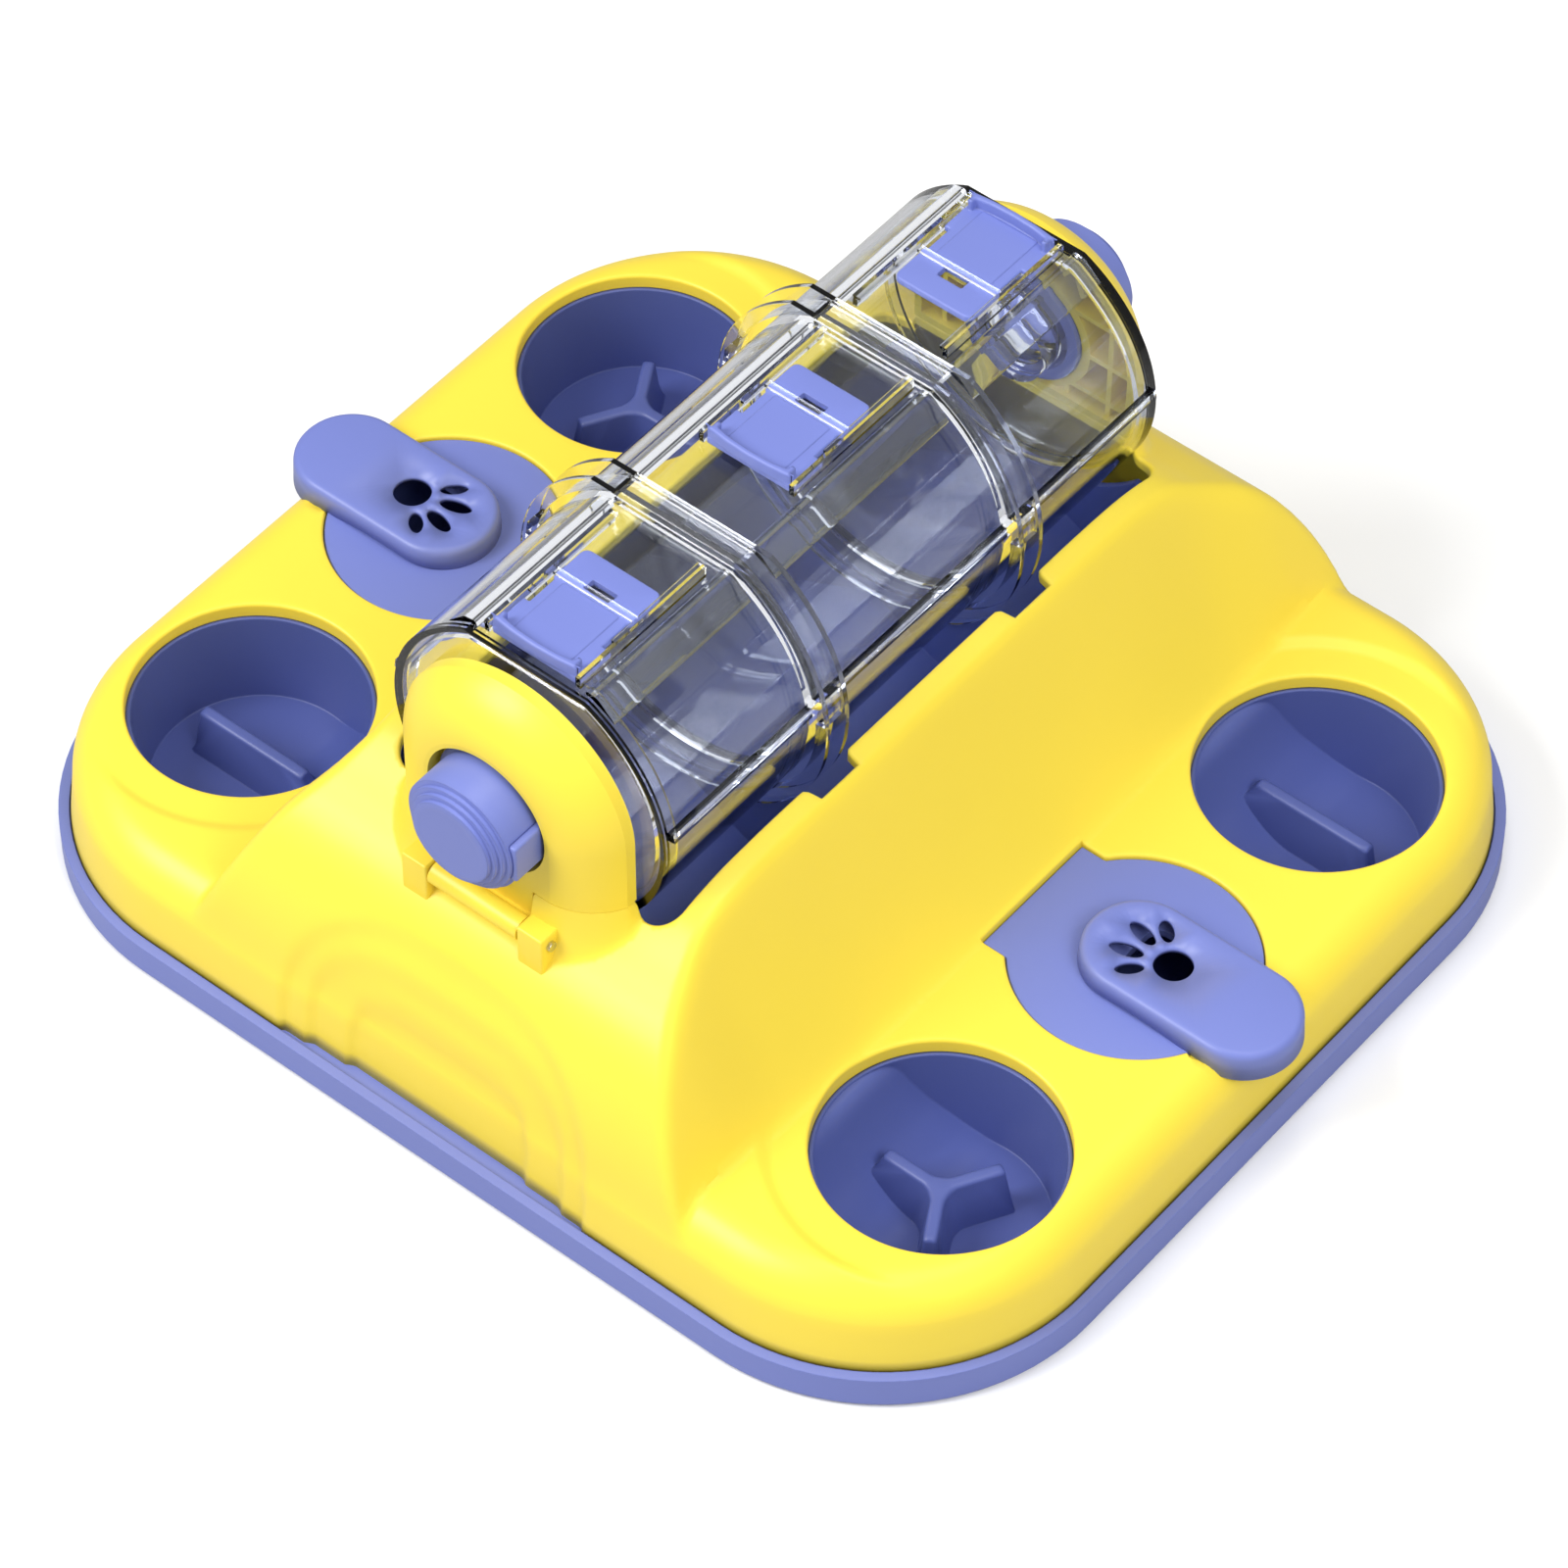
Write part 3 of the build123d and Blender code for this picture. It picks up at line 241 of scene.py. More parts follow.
blue_plastic = moulded("blue_plastic", blue_colour, 0.38, edge=edge_round)
foot_rubber = moulded("foot_rubber", rubber_colour, 0.75, grain=1200.0, depth=0.00004)
steel = moulded("steel", steel_colour, 0.28, grain=6000.0)
steel.node_tree.nodes["Principled BSDF"].inputs["Metallic"].default_value = 1.0

dress(blue_plastic, "base_tray")
dress(steel, "cover_screws")
dress(foot_rubber, *[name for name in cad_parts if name.startswith("foot_")])

# --- Cover -------------------------------------------------------------------------------------
# The cover is a thin yellow injection moulding that drops into the tray's rim. It has a deck with a
# rounded shoulder, a hump with the drum's slot, a pedestal at each end of it, and arches pressed
# into both ends. The holes have softly rounded lips.
yellow_colour = (0.95, 0.725, 0.06)
base_half_x = 166.7
base_half_y = 147.4
base_corner = 66.2
ledge_height = 10.4
deck_height = 38.1
side_taper = np.radians(6)
shoulder_radius = 12.5
cover_wall = 2.2
skirt_insets = (0, 0.5, 1, 1.5, 1.8, 2.2, 2.8, 3.6, 4.6, 5.8, 7.2, 8.6, 9.8)  # rows up the cover's side
skirt_depth = skirt_insets[-1]
shoulder_insets = (11.0, 12.4, 14.2)  # rings of points past them

well_x = 120.5
well_y = 81.9
well_radius = 34.5
lip_radius = 1.0
lip_bottom = 33.5
edge_hold = 0.12  # a row this far from a sharp rim keeps the shading of the wall beside it straight
pad_radius = 44.0
pad_step_width = 4.5
pad_step = 1.5
pad_side_fade = (1.15, 1.1)  # the step fades away towards the toy's side
pad_end_fade = 0.45  # and towards its middle
pad_shoulder_fade = 14

hump_top = 98.5
hump_crest_x = 46.5
hump_edge_x = 54.3
hump_edge_drop = 1.5
hump_foot_x = 86.3
hump_foot_narrowing = 3.8
hump_end_y = 147.0
hump_end_fall = 9
hump_hollow = 7.1
hump_bulge = 9.5  # near both ends the sides' hollow turns into a bulge
hump_bulge_y = 95
hump_bulge_run = 32
hump_edge_crease = 3.0
hump_end_crease = 8.0
hump_valley = 2.5
hump_end_profile = (
    (0, 98.5), (40, 98.5), (70, 98.4), (84, 96.8), (91, 95.0), (98.2, 92.5), (104.3, 89.2), (110.1, 85.6),
    (116.5, 81.9), (122.8, 77.9), (127.8, 73.3), (132.3, 67.5), (136, 61.1), (139.3, 53.9), (141.6, 47.2),
    (143.3, 40.0), (145.3, 26.5), (147.0, 10.4),
)
pedestal_top = 94.8
pedestal_flat_y = 119.0
pedestal_back_y = 104.0
pedestal_flat_x = 21.0
pedestal_side_x = 37.2
pedestal_arc = (18.5, 98.33, 20.82)  # centre and radius of the arc that cuts its outer corners
pedestal_flare = np.radians(12)
pedestal_valley = 6.0
pedestal_row_offsets = (-0.6, 0.0, 0.4, 0.9, 1.5, 2.2, 3.0)
arches = ((54.0, 68.0, 2.9), (45.4, 55.7, 3.4), (32.0, 41.0, 4.4))  # half-width, top, squareness
arch_step = 1.35
arch_side_run = 2.6
arch_top_run = 5.0
arch_top_turn = 0.4
arch_start_y = 118
arch_start_run = 3

pocket_half_x = 15.42
pocket_back_y = 115.6
pocket_front_y = 125.0
pocket_floor = 80.0
pocket_drop = 0.04  # a pocket's wall drops this far inside its plan and starts as far outside

slot_half_x = 47.5
slot_half_y = 104.0
slot_corner = 8.0
ring_y = 40.5
ring_notch_half_x = 52.55
ring_notch_half_y = 7.75
ring_notch_round = 1.2

bin_x = 121.0
recess_radius = 34.5
recess_inner_x = 86.2
recess_tail_half_y = 21.8
recess_floor = 32.3
recess_lip = 0.8
handle_inner_x = 106.0
handle_outer_x = 173.0
handle_half_y = 16.5
dip_gap = 0.6
dip_floor = 36.6
dip_slope = 4
dip_rim = 0.5
quarter_round = np.radians((0, 22, 45, 68, 90))
plan_merge = 1e-7


def ease(value):
    """Smooth step from 0 to 1 while the value runs from 0 to 1."""
    held = np.clip(value, 0, 1)
    return held * held * (3 - 2 * held)


def soft_max(first, second, width):
    """Larger of two values, rounded over where they differ by less than the width."""
    near = np.maximum(width - np.abs(first - second), 0) / width
    return np.maximum(first, second) + near * near * width / 4


def soft_min(first, second, width):
    """Smaller of two values, rounded in the same way."""
    return -soft_max(-first, -second, width)


def smooth_line(value, points):
    """Smooth curve through points: a cubic between each two, with the mean slope at every point."""
    known, level = np.array(points, float).T
    slope = np.gradient(level, known)
    at = np.clip(np.searchsorted(known, value) - 1, 0, len(known) - 2)
    step = known[at + 1] - known[at]
    part = (value - known[at]) / step
    rise = part * part * (3 - 2 * part)
    start = part * (1 - part) ** 2 * step * slope[at]
    end = part * part * (part - 1) * step * slope[at + 1]
    return level[at] * (1 - rise) + level[at + 1] * rise + start + end


def rounded_box(x, y, half_x, half_y, corner):
    """Distance outside a rounded rectangle in plan; it is negative inside."""
    over_x = np.abs(x) - half_x + corner
    over_y = np.abs(y) - half_y + corner
    outside = np.hypot(np.maximum(over_x, 0), np.maximum(over_y, 0))
    return outside + np.minimum(np.maximum(over_x, over_y), 0) - corner


def base_inset(x, y):
    """How far a place in plan lies inside the cover's foot."""
    return -rounded_box(x, y, base_half_x, base_half_y, base_corner)


def deck_level(x, y):
    """Deck: a wall leaning in by the taper, then the shoulder's arc, then a flat.

    Outside each cup's pad the deck stands a step higher towards the hump and the nearer end.
    """
    inset = base_inset(x, y)
    arc_start = (deck_height - shoulder_radius - ledge_height) * np.tan(side_taper)
    arc_centre = arc_start + shoulder_radius * np.cos(side_taper)
    wall = ledge_height + inset / np.tan(side_taper)
    across = np.clip(arc_centre - inset, 0, shoulder_radius)
    arc = deck_height - shoulder_radius + np.sqrt(shoulder_radius**2 - across**2)
    level = np.where(inset < arc_start + 0.1, np.minimum(wall, arc), arc)
    off_x = np.abs(x) - well_x
    off_y = np.abs(y) - well_y
    away = np.hypot(off_x, off_y)
    sideways = ease(pad_side_fade[0] - pad_side_fade[1] * off_x / np.maximum(away, 1))
    facing = sideways * ease(pad_end_fade + off_y / np.maximum(away, 1))
    raised = pad_step * ease((away - pad_radius) / pad_step_width) * facing
    return level + raised * ease(inset / pad_shoulder_fade)


def hump_level(x, y):
    """Hump: the least of its top strip, its hollow side and its end, with rounded creases."""
    side_x = np.abs(x)
    end_y = np.abs(y)
    past_crest = np.maximum(side_x - hump_crest_x, 0)
    top = hump_top - hump_edge_drop * past_crest / (hump_edge_x - hump_crest_x)
    foot_x = hump_foot_x - hump_foot_narrowing * (end_y / hump_end_y) ** 2
    part = (side_x - hump_edge_x) / (foot_x - hump_edge_x)
    fall = hump_top - hump_edge_drop - deck_height
    hollow = hump_hollow - hump_bulge * ease((end_y - hump_bulge_y) / hump_bulge_run)
    inside = np.clip(part, 0, 1)
    side = hump_top - hump_edge_drop - fall * part - hollow * 4 * inside * (1 - inside)
    end = smooth_line(end_y, hump_end_profile)
    end = np.where(end_y > hump_end_y, ledge_height - hump_end_fall * (end_y - hump_end_y), end)
    return soft_min(soft_min(top, side, hump_edge_crease), end, hump_end_crease)


def pedestal_level(x, y):
    """Pedestal: flat over its plan, which is a box with its outer corners cut by an arc, and falling
    steeply outside it, so that it flares into the hump."""
    side_x = np.abs(x)
    end_y = np.abs(y)
    arc_x, arc_y, arc_radius = pedestal_arc
    corner = np.hypot(side_x - arc_x, end_y - arc_y) - arc_radius
    corner = np.where((side_x > pedestal_flat_x) & (end_y > arc_y), corner, -10.0)
    outside = np.maximum(np.maximum(side_x - pedestal_side_x, end_y - pedestal_flat_y), corner)
    flare = pedestal_top - outside / np.tan(pedestal_flare)
    return np.where(end_y < pedestal_back_y - 0.01, 0.0, np.minimum(flare, pedestal_top))


def arch_depth(x, z):
    """How far the arches press the end in: one step more inside each rounded-square outline, over
    a short run at its sides and a longer one at its top."""
    depth = np.zeros_like(x)
    for half_width, top, power in arches:
        across = np.abs(x) / half_width
        up = np.clip(z - ledge_height, 0, None) / (top - ledge_height)
        ring = (across**power + up**power) ** (1 / power)
        over = ease(up / np.maximum(across, 0.01) - arch_top_turn)
        run = arch_side_run / half_width + (arch_top_run - arch_side_run) / half_width * over
        depth = depth + arch_step * ease((1 - ring) / run)
    return depth


def cover_level(x, y):
    """Height of the cover's outside: hump, pedestals and deck run together with soft valleys, less
    the dips that the lids' handles rest in and the pockets that the brackets' tongues fold in."""
    raised = soft_max(hump_level(x, y), pedestal_level(x, y), pedestal_valley)
    raised = np.where(np.abs(y) < pedestal_back_y, hump_level(x, y), raised)
    level = soft_max(raised, deck_level(x, y), hump_valley)
    middle_x = (handle_inner_x + handle_outer_x) / 2
    half_x = (handle_outer_x - handle_inner_x) / 2
    half_y = handle_half_y + dip_gap
    dip = rounded_box(np.abs(x) - middle_x, y, half_x + dip_gap, half_y, half_y - 0.001)
    dipped = np.minimum(level, dip_floor + np.clip(dip, 0, 1) * dip_slope)
    level = np.where(dip < dip_rim, dipped, level)
    in_pocket = (np.abs(x) < pocket_half_x) & (np.abs(y) > pocket_back_y)
    in_pocket &= np.abs(y) < pocket_front_y
    return np.where(in_pocket, np.minimum(level, pocket_floor), level)


def cover_point(x, y):
    """Point of the cover's outside over a place in plan, pressed in by the arches at both ends."""
    level = cover_level(x, y)
    ending = ease((np.abs(y) - arch_start_y) / arch_start_run)
    pressed = np.abs(y) - ending * arch_depth(x, level)
    return np.stack([x, np.sign(y) * pressed, level], axis=-1)


def ring_loop(centre_x, centre_y, radius, count):
    """Circle in plan as a closed loop of points."""
    angle = np.linspace(0, 2 * np.pi, count, endpoint=False)
    return np.stack([centre_x + radius * np.cos(angle), centre_y + radius * np.sin(angle)], axis=-1)


def resampled(loop, spacing):
    """Closed loop with its points put at even spacing along it."""
    closed = np.vstack([loop, loop[:1]])
    run = np.concatenate([[0], np.cumsum(np.hypot(*np.diff(closed, axis=0).T))])
    count = int(round(run[-1] / spacing))
    at = np.linspace(0, run[-1], count, endpoint=False)
    return np.stack([np.interp(at, run, closed[:, 0]), np.interp(at, run, closed[:, 1])], axis=-1)


def box_loop(half_x, half_y, corner, spacing):
    """Rounded rectangle in plan round the origin, as a closed loop running anticlockwise."""
    quarter = np.linspace(0, np.pi / 2, 40)
    parts = []
    for turn, (sign_x, sign_y) in enumerate(((1, 1), (-1, 1), (-1, -1), (1, -1))):
        angle = quarter + turn * np.pi / 2
        centre = np.array([sign_x * (half_x - corner), sign_y * (half_y - corner)])
        parts.append(centre + corner * np.stack([np.cos(angle), np.sin(angle)], axis=-1))
    return resampled(np.vstack(parts), spacing)


def base_loop(inset, spacing):
    """Plan of the cover's foot, drawn in by an inset."""
    return box_loop(base_half_x - inset, base_half_y - inset, base_corner - inset, spacing)


def turning(loop):
    """Twice the area of a closed loop; it is negative where the loop runs clockwise."""
    return np.sum(loop[:, 0] * np.roll(loop[:, 1], -1) - loop[:, 1] * np.roll(loop[:, 0], -1))


def outward(loop):
    """Unit normals of a closed loop in plan, pointing away from what it encloses."""
    along = np.roll(loop, -1, axis=0) - np.roll(loop, 1, axis=0)
    normal = np.stack([along[:, 1], -along[:, 0]], axis=-1)
    return np.sign(turning(loop)) * normal / np.linalg.norm(normal, axis=1)[:, None]


def encloses(loop, x, y):
    """Whether a closed loop goes round each place: an odd number of its edges lies to the right."""
    found = np.zeros(len(x), bool)
    low = loop.min(axis=0)
    high = loop.max(axis=0)
    near = np.flatnonzero((x > low[0]) & (x < high[0]) & (y > low[1]) & (y < high[1]))
    start_x, start_y = loop.T[:, :, None]
    end_x, end_y = np.roll(loop, -1, axis=0).T[:, :, None]
    level = y[near][None, :]
    spans = (start_y > level) != (end_y > level)
    height = np.where(end_y == start_y, 1, end_y - start_y)
    crossing = start_x + (level - start_y) / height * (end_x - start_x)
    found[near] = np.sum(spans & (x[near][None, :] < crossing), axis=0) % 2 == 1
    return found


def filled_plan(outer, holes=(), points=np.zeros((0, 2)), lines=()):
    """Triangles in plan inside an outer loop and outside its holes, through loose points and with
    edges along closed lines.

    Returns the places and the triangles; the loops' points come first, in order.
    """
    loops = [outer, *holes, *lines]
    starts = np.cumsum([0] + [len(loop) for loop in loops])
    edges = []
    for start, loop in zip(starts, loops):
        index = np.arange(len(loop))
        edges.append(np.stack([start + index, start + (index + 1) % len(loop)], axis=-1))
    places = np.vstack([*loops, points])
    result = delaunay_2d_cdt(places.tolist(), np.vstack(edges).tolist(), [], 0, plan_merge)
    corners = np.array([tuple(corner) for corner in result[0]])
    triangles = np.array(result[2])
    middle = corners[triangles].mean(axis=1).T
    kept = encloses(outer, *middle)
    for hole in holes:
        kept &= ~encloses(hole, *middle)
    triangles = triangles[kept]
    first, second, third = np.moveaxis(corners[triangles], 1, 0)
    turn = np.cross(second - first, third - first)
    triangles[turn < 0] = triangles[turn < 0][:, ::-1]
    return corners, triangles


def band(rows, flip=False):
    """Quads between rows of points, each row a closed run round the same path."""
    rows = np.array(rows)
    count = rows.shape[1]
    lower, along = np.meshgrid(np.arange(len(rows) - 1), np.arange(count), indexing="ij")
    here = lower * count + along
    beside = lower * count + (along + 1) % count
    quads = np.stack([here, beside, beside + count, here + count], axis=-1).reshape(-1, 4)
    return rows.reshape(-1, 3), quads[:, ::-1] if flip else quads


def weld(mesh, distance):
    """Join points that lie within a distance of each other."""
    shape = bmesh.new()
    shape.from_mesh(mesh)
    bmesh.ops.remove_doubles(shape, verts=shape.verts, dist=distance)
    shape.to_mesh(mesh)
    shape.free()


def add_piece(name, parts, material, body, replaced=(), merge=0.00002, sharp=40):
    """Mesh object from parts of points in millimetres and faces.

    It is welded, shaded smooth below an angle, and rides on a body in place of the CAD nodes named.
    """
    corners = []
    faces = []
    start = 0
    for points, part_faces in parts:
        corners.append(np.asarray(points, float))
        faces.extend((np.asarray(part_faces) + start).tolist())
        start += len(points)
    mesh = bpy.data.meshes.new(name)
    mesh.from_pydata((np.vstack(corners) / 1000).tolist(), [], faces)
    mesh.validate()
    weld(mesh, merge)
    mesh.shade_smooth()
    mesh.set_sharp_from_angle(angle=np.radians(sharp))
    mesh.materials.append(material)
    piece = bpy.data.objects.new(name, mesh)
    bpy.context.scene.collection.objects.link(piece)
    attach(piece, body)
    if replaced:
        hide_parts(*replaced)
    return piece


def thicken(piece, thickness):
    """Give an open skin its wall, inwards from the skin."""
    wall = piece.modifiers.new("wall", "SOLIDIFY")
    wall.thickness = thickness / 1000
    wall.offset = -1.0


def at_level(loop, level):
    """Loop in plan put at one height, or at a height for each of its points."""
    return np.column_stack([loop, np.broadcast_to(level, len(loop))])


def lid_recess_loop(side, grow):
    """Plan of a lid's recess: a disc with a square tail towards the hump, grown by an amount."""
    radius = recess_radius + grow
    tail = recess_tail_half_y + grow
    inner = recess_inner_x - grow
    junction = np.arccos(-np.sqrt(radius**2 - tail**2) / radius)
    angle = np.linspace(-junction, junction, 160)
    disc = np.stack([bin_x + radius * np.cos(angle), radius * np.sin(angle)], axis=-1)
    corners = np.array([[inner, tail], [inner, -tail]])
    loop = resampled(np.vstack([disc, corners]), spacing=1.0)
    return loop if side > 0 else (loop * (-1, 1))[::-1]


def slot_loop(grow):
    """Plan of the drum's slot: a rounded rectangle, wider where the rings turn."""
    loop = box_loop(slot_half_x + grow, slot_half_y + grow, slot_corner, spacing=0.25)
    beside_ring = np.abs(np.abs(loop[:, 1]) - ring_y) - ring_notch_half_y - grow
    widening = (ring_notch_half_x - slot_half_x) * ease(0.5 - beside_ring / ring_notch_round)
    loop[:, 0] += np.sign(loop[:, 0]) * widening
    return resampled(loop, spacing=1.2)


def pocket_loop(side, grow):
    """Plan of the pocket that a bracket's tongue folds in."""
    half_y = (pocket_front_y - pocket_back_y) / 2
    loop = box_loop(pocket_half_x + grow, half_y + grow, 0.01, spacing=0.9)
    return loop + (0, side * (pocket_back_y + half_y))


def pedestal_rows(side):
    """Places along a pedestal's plan, in rows from just inside its edge down its flare."""
    arc_x, arc_y, arc_radius = pedestal_arc
    start = np.arctan2(pedestal_flat_y - arc_y, pedestal_flat_x - arc_x)
    end = np.arccos((pedestal_side_x - arc_x) / arc_radius)
    angle = np.linspace(end, start, 40)
    arc = np.stack([arc_x + arc_radius * np.cos(angle), arc_y + arc_radius * np.sin(angle)], axis=-1)
    half = np.vstack([[(pedestal_side_x, pedestal_back_y - 10)], arc])
    loop = resampled(np.vstack([half, half[::-1] * (-1, 1)]), spacing=0.8)
    rows = np.vstack([loop + outward(loop) * distance for distance in pedestal_row_offsets])
    rows = rows[rows[:, 1] > pedestal_back_y + lip_radius + 0.5]
    return rows * (1, side)


def lip_rows(loop, top, radius, bottom):
    """Rows of a hole's lip: a quarter round from the surface into the hole, then a wall down."""
    rows = []
    inward = -outward(loop)
    for angle in quarter_round:
        place = loop + inward * radius * np.sin(angle)
        rows.append(at_level(place, top - radius * (1 - np.cos(angle))))
    return [*rows, at_level(place, bottom + edge_hold), at_level(place, bottom)]


def graded(*spans):
    """Values either side of zero, from spans given as start, end and step."""
    positive = np.concatenate([np.arange(start, end, step) for start, end, step in spans])
    return np.concatenate([-positive[::-1], positive])


skirt_loop = base_loop(skirt_depth, spacing=1.35)
skirt_places = [skirt_loop + outward(skirt_loop) * (skirt_depth - inset) for inset in skirt_insets]
skirt_rows = [cover_point(*place.T) for place in skirt_places]

well_places = [(side_x * well_x, side_y * well_y) for side_x in (-1, 1) for side_y in (-1, 1)]
well_loops = [ring_loop(*place, well_radius + lip_radius, count=180) for place in well_places]
recess_loops = [lid_recess_loop(side, recess_lip) for side in (-1, 1)]
slot_edge = slot_loop(lip_radius)
hole_loops = [*well_loops, *recess_loops, slot_edge]
pocket_grows = (-pocket_drop, pocket_drop)
pocket_loops = [pocket_loop(side, grow) for side in (-1, 1) for grow in pocket_grows]

# The cover's loose places: a grid that is finer where the surface turns, rings over each pad's step,
# rings round the shoulder, and rows down each pedestal's flare. None comes close to another's lines.
cover_grid_x = graded((0.7, 60, 1.45), (60, 92, 1.35), (92, 156, 2.6))
cover_grid_y = graded((1, 89, 2.1), (89, 100, 1.1), (100, 134, 0.8))
pad_ring_step = 0.95
shoulder_clear = 2.4
edge_clear = 0.6
pocket_clear = 0.35

across, along = np.meshgrid(cover_grid_x, cover_grid_y)
grid = np.column_stack([across.ravel(), along.ravel()])
pad_distance = np.hypot(np.abs(grid[:, 0]) - well_x, np.abs(grid[:, 1]) - well_y)
grid = grid[(pad_distance > pad_radius + pad_step_width + 1) | (pad_distance < pad_radius - 1)]
pad_rings = [
    ring_loop(*place, radius, count=200)
    for place in well_places
    for radius in np.arange(pad_radius - 0.5, pad_radius + pad_step_width + 1, pad_ring_step)
]
grid_pedestal = pedestal_level(*grid.T)
grid = grid[(grid_pedestal > pedestal_top - 0.01) | (grid_pedestal < pedestal_top - 16)]
shoulder_rings = [base_loop(inset, spacing=1.6) for inset in shoulder_insets]
grid = grid[np.abs(base_inset(*grid.T) - shoulder_insets[1]) > shoulder_clear]
loose = np.vstack([grid, *pad_rings, *shoulder_rings, *[pedestal_rows(side) for side in (-1, 1)]])
loose = loose[base_inset(*loose.T) > skirt_depth + edge_clear]
for loop in hole_loops:
    loose = loose[~encloses(loop + outward(loop) * edge_clear, *loose.T)]
pocket_x = np.abs(loose[:, 0]) - pocket_half_x
pocket_y = np.abs(np.abs(loose[:, 1]) - (pocket_back_y + pocket_front_y) / 2)
pocket_y = pocket_y - (pocket_front_y - pocket_back_y) / 2
loose = loose[np.abs(np.maximum(pocket_x, pocket_y)) > pocket_clear]

cover_places, cover_faces = filled_plan(skirt_loop, hole_loops, loose, pocket_loops)
cover_parts = [(cover_point(*cover_places.T), cover_faces), band(skirt_rows)]
for loop in well_loops:
    cover_parts.append(band(lip_rows(loop, cover_level(*loop.T), lip_radius, lip_bottom)))
for loop in recess_loops:
    cover_parts.append(band(lip_rows(loop, cover_level(*loop.T), recess_lip, recess_floor)))
slot_top = cover_level(*slot_edge.T)
slot_bottom = slot_top - lip_radius - cover_wall
cover_parts.append(band(lip_rows(slot_edge, slot_top, lip_radius, slot_bottom)))

yellow_plastic = moulded("yellow_plastic", yellow_colour, 0.4, depth=0.000006)
cover = add_piece("cover", cover_parts, yellow_plastic, "base", ["top_cover"])
thicken(cover, cover_wall)


def rounded_block(centre, half, radius):
    """Block with rounded edges: a ball's surface, cut into eight and pushed apart to the corners."""
    steps = 4
    turn = np.linspace(0, np.pi / 2, steps + 1)
    around = np.concatenate([turn + quarter * np.pi / 2 for quarter in range(4)])
    side_x = np.repeat((1, -1, -1, 1), steps + 1)
    side_y = np.repeat((1, 1, -1, -1), steps + 1)
    rise = np.concatenate([turn - np.pi / 2, turn])
    side_z = np.repeat((-1, 1), steps + 1)
    core = np.array(half) - radius
    x = radius * np.cos(rise)[:, None] * np.cos(around) + side_x * core[0]
    y = radius * np.cos(rise)[:, None] * np.sin(around) + side_y * core[1]
    z = radius * np.sin(rise)[:, None] + side_z[:, None] * core[2] + 0 * around
    points, quads = band(np.stack([x, y, z], axis=-1))
    corners = np.arange(4) * (steps + 1)
    caps = np.array([corners[::-1], corners + (len(rise) - 1) * len(around)])
    return points + np.array(centre), np.vstack([quads, caps])


lug_near = np.array((15.4, 117.5, 73.0))
lug_far = np.array((24.0, 126.4, 88.0))
lug_round = 0.7
lug_parts = []
for side_x in (-1, 1):
    for side_y in (-1, 1):
        lug_middle = (side_x, side_y, 1) * (lug_near + lug_far) / 2
        lug_parts.append(rounded_block(lug_middle, (lug_far - lug_near) / 2, lug_round))
add_piece("hinge_lugs", lug_parts, yellow_plastic, "base")

# --- Cups and bins -----------------------------------------------------------------------------
# Four open cups hang under the cover's lips and stand on the tray's floor. Each is a thin blue moulding,
# with a leaning wall, a scoop on the hump's side that treats come down, and a hollow rib that slows the
# dog down. Two ribs are bars and two have three arms. The bins are plain cups.
# painted shade: the tray's blue darkened so that the cups, bins and trough look shaded inside
painted_shade_blue_colour = (0.084, 0.112, 0.345)
cup_floor_level = 4.8
cup_floor_radius = 31.3
cup_skin = 1.4
scoop_profile = (
    (-6, -5.5), (0, -1.2), (6, 3.0), (10.1, 6.0), (14.5, 9.2), (18.1, 12.4), (21.4, 16.0), (24.0, 20.0),
    (26.7, 25.4), (28.7, 30.2), (30.4, 32.4), (32.5, 33.1), (35.0, 33.3),
)
scoop_valley = 4.0
cup_grid_x = np.arange(-9, 34.4, 0.9)  # from the cup's axis to the hump, finer down the scoop
cup_grid_y = np.arange(-32, 32.5, 1.4)
rib_level = 20.6
rib_half_width = 2.0
rib_corner = 1.0
rib_round = 1.2
rib_round_angles = np.radians((0, 20, 42, 65, 90))
rib_draft = 2.2
bar_half = 19.0
arm_length = 18.0
arm_fillet = 3.0
halvings = 40

# painted shade: the material with the darkened blue for the cups, bins and trough
painted_shade_blue_plastic = moulded("painted_shade_blue_plastic", painted_shade_blue_colour, 0.38, edge=edge_round)


def cup_radius(level):
    """Radius of a cup's wall at a height: a cone from the floor to the lip."""
    widening = (well_radius - cup_floor_radius) * (level - cup_floor_level)
    return cup_floor_radius + widening / (lip_bottom - cup_floor_level)


def scoop_level(toward):
    """Height of a cup's floor and scoop over a place measured from the cup's axis to the hump."""
    scoop = smooth_line(np.clip(toward, scoop_profile[0][0], scoop_profile[-1][0]), scoop_profile)
    return soft_max(scoop, cup_floor_level, scoop_valley)


def wall_start(angle):
    """Height where the wall meets floor or scoop, by halving, for angles from the hump's side."""
    low = np.full(len(angle), cup_floor_level)
    high = np.full(len(angle), lip_bottom)
    for _ in range(halvings):
        middle = (low + high) / 2
        buried = scoop_level(cup_radius(middle) * np.cos(angle)) > middle + 0.001
        low = np.where(buried, middle, low)
        high = np.where(buried, high, middle)
    return high


def rib_reach(angle, grow, arms):
    """Distance from a rib's middle to its outline, by halving: a rounded box round each arm, run
    together with fillets and grown by an amount."""
    low = np.zeros(len(angle))
    high = np.full(len(angle), 30.0)
    for _ in range(halvings):
        reach = (low + high) / 2
        nearest = np.full(len(angle), 100.0)
        for start, end, turn in arms:
            along = reach * np.cos(angle - turn)
            aside = reach * np.sin(angle - turn)
            middle = (start + end) / 2
            half_width = rib_half_width + grow
            corner = min(rib_corner, half_width - 0.05)
            box = rounded_box(along - middle, aside, (end - start) / 2 + grow, half_width, corner)
            nearest = soft_min(nearest, box, arm_fillet)
        inside = nearest < 0
        low = np.where(inside, reach, low)
        high = np.where(inside, high, reach)
    return low


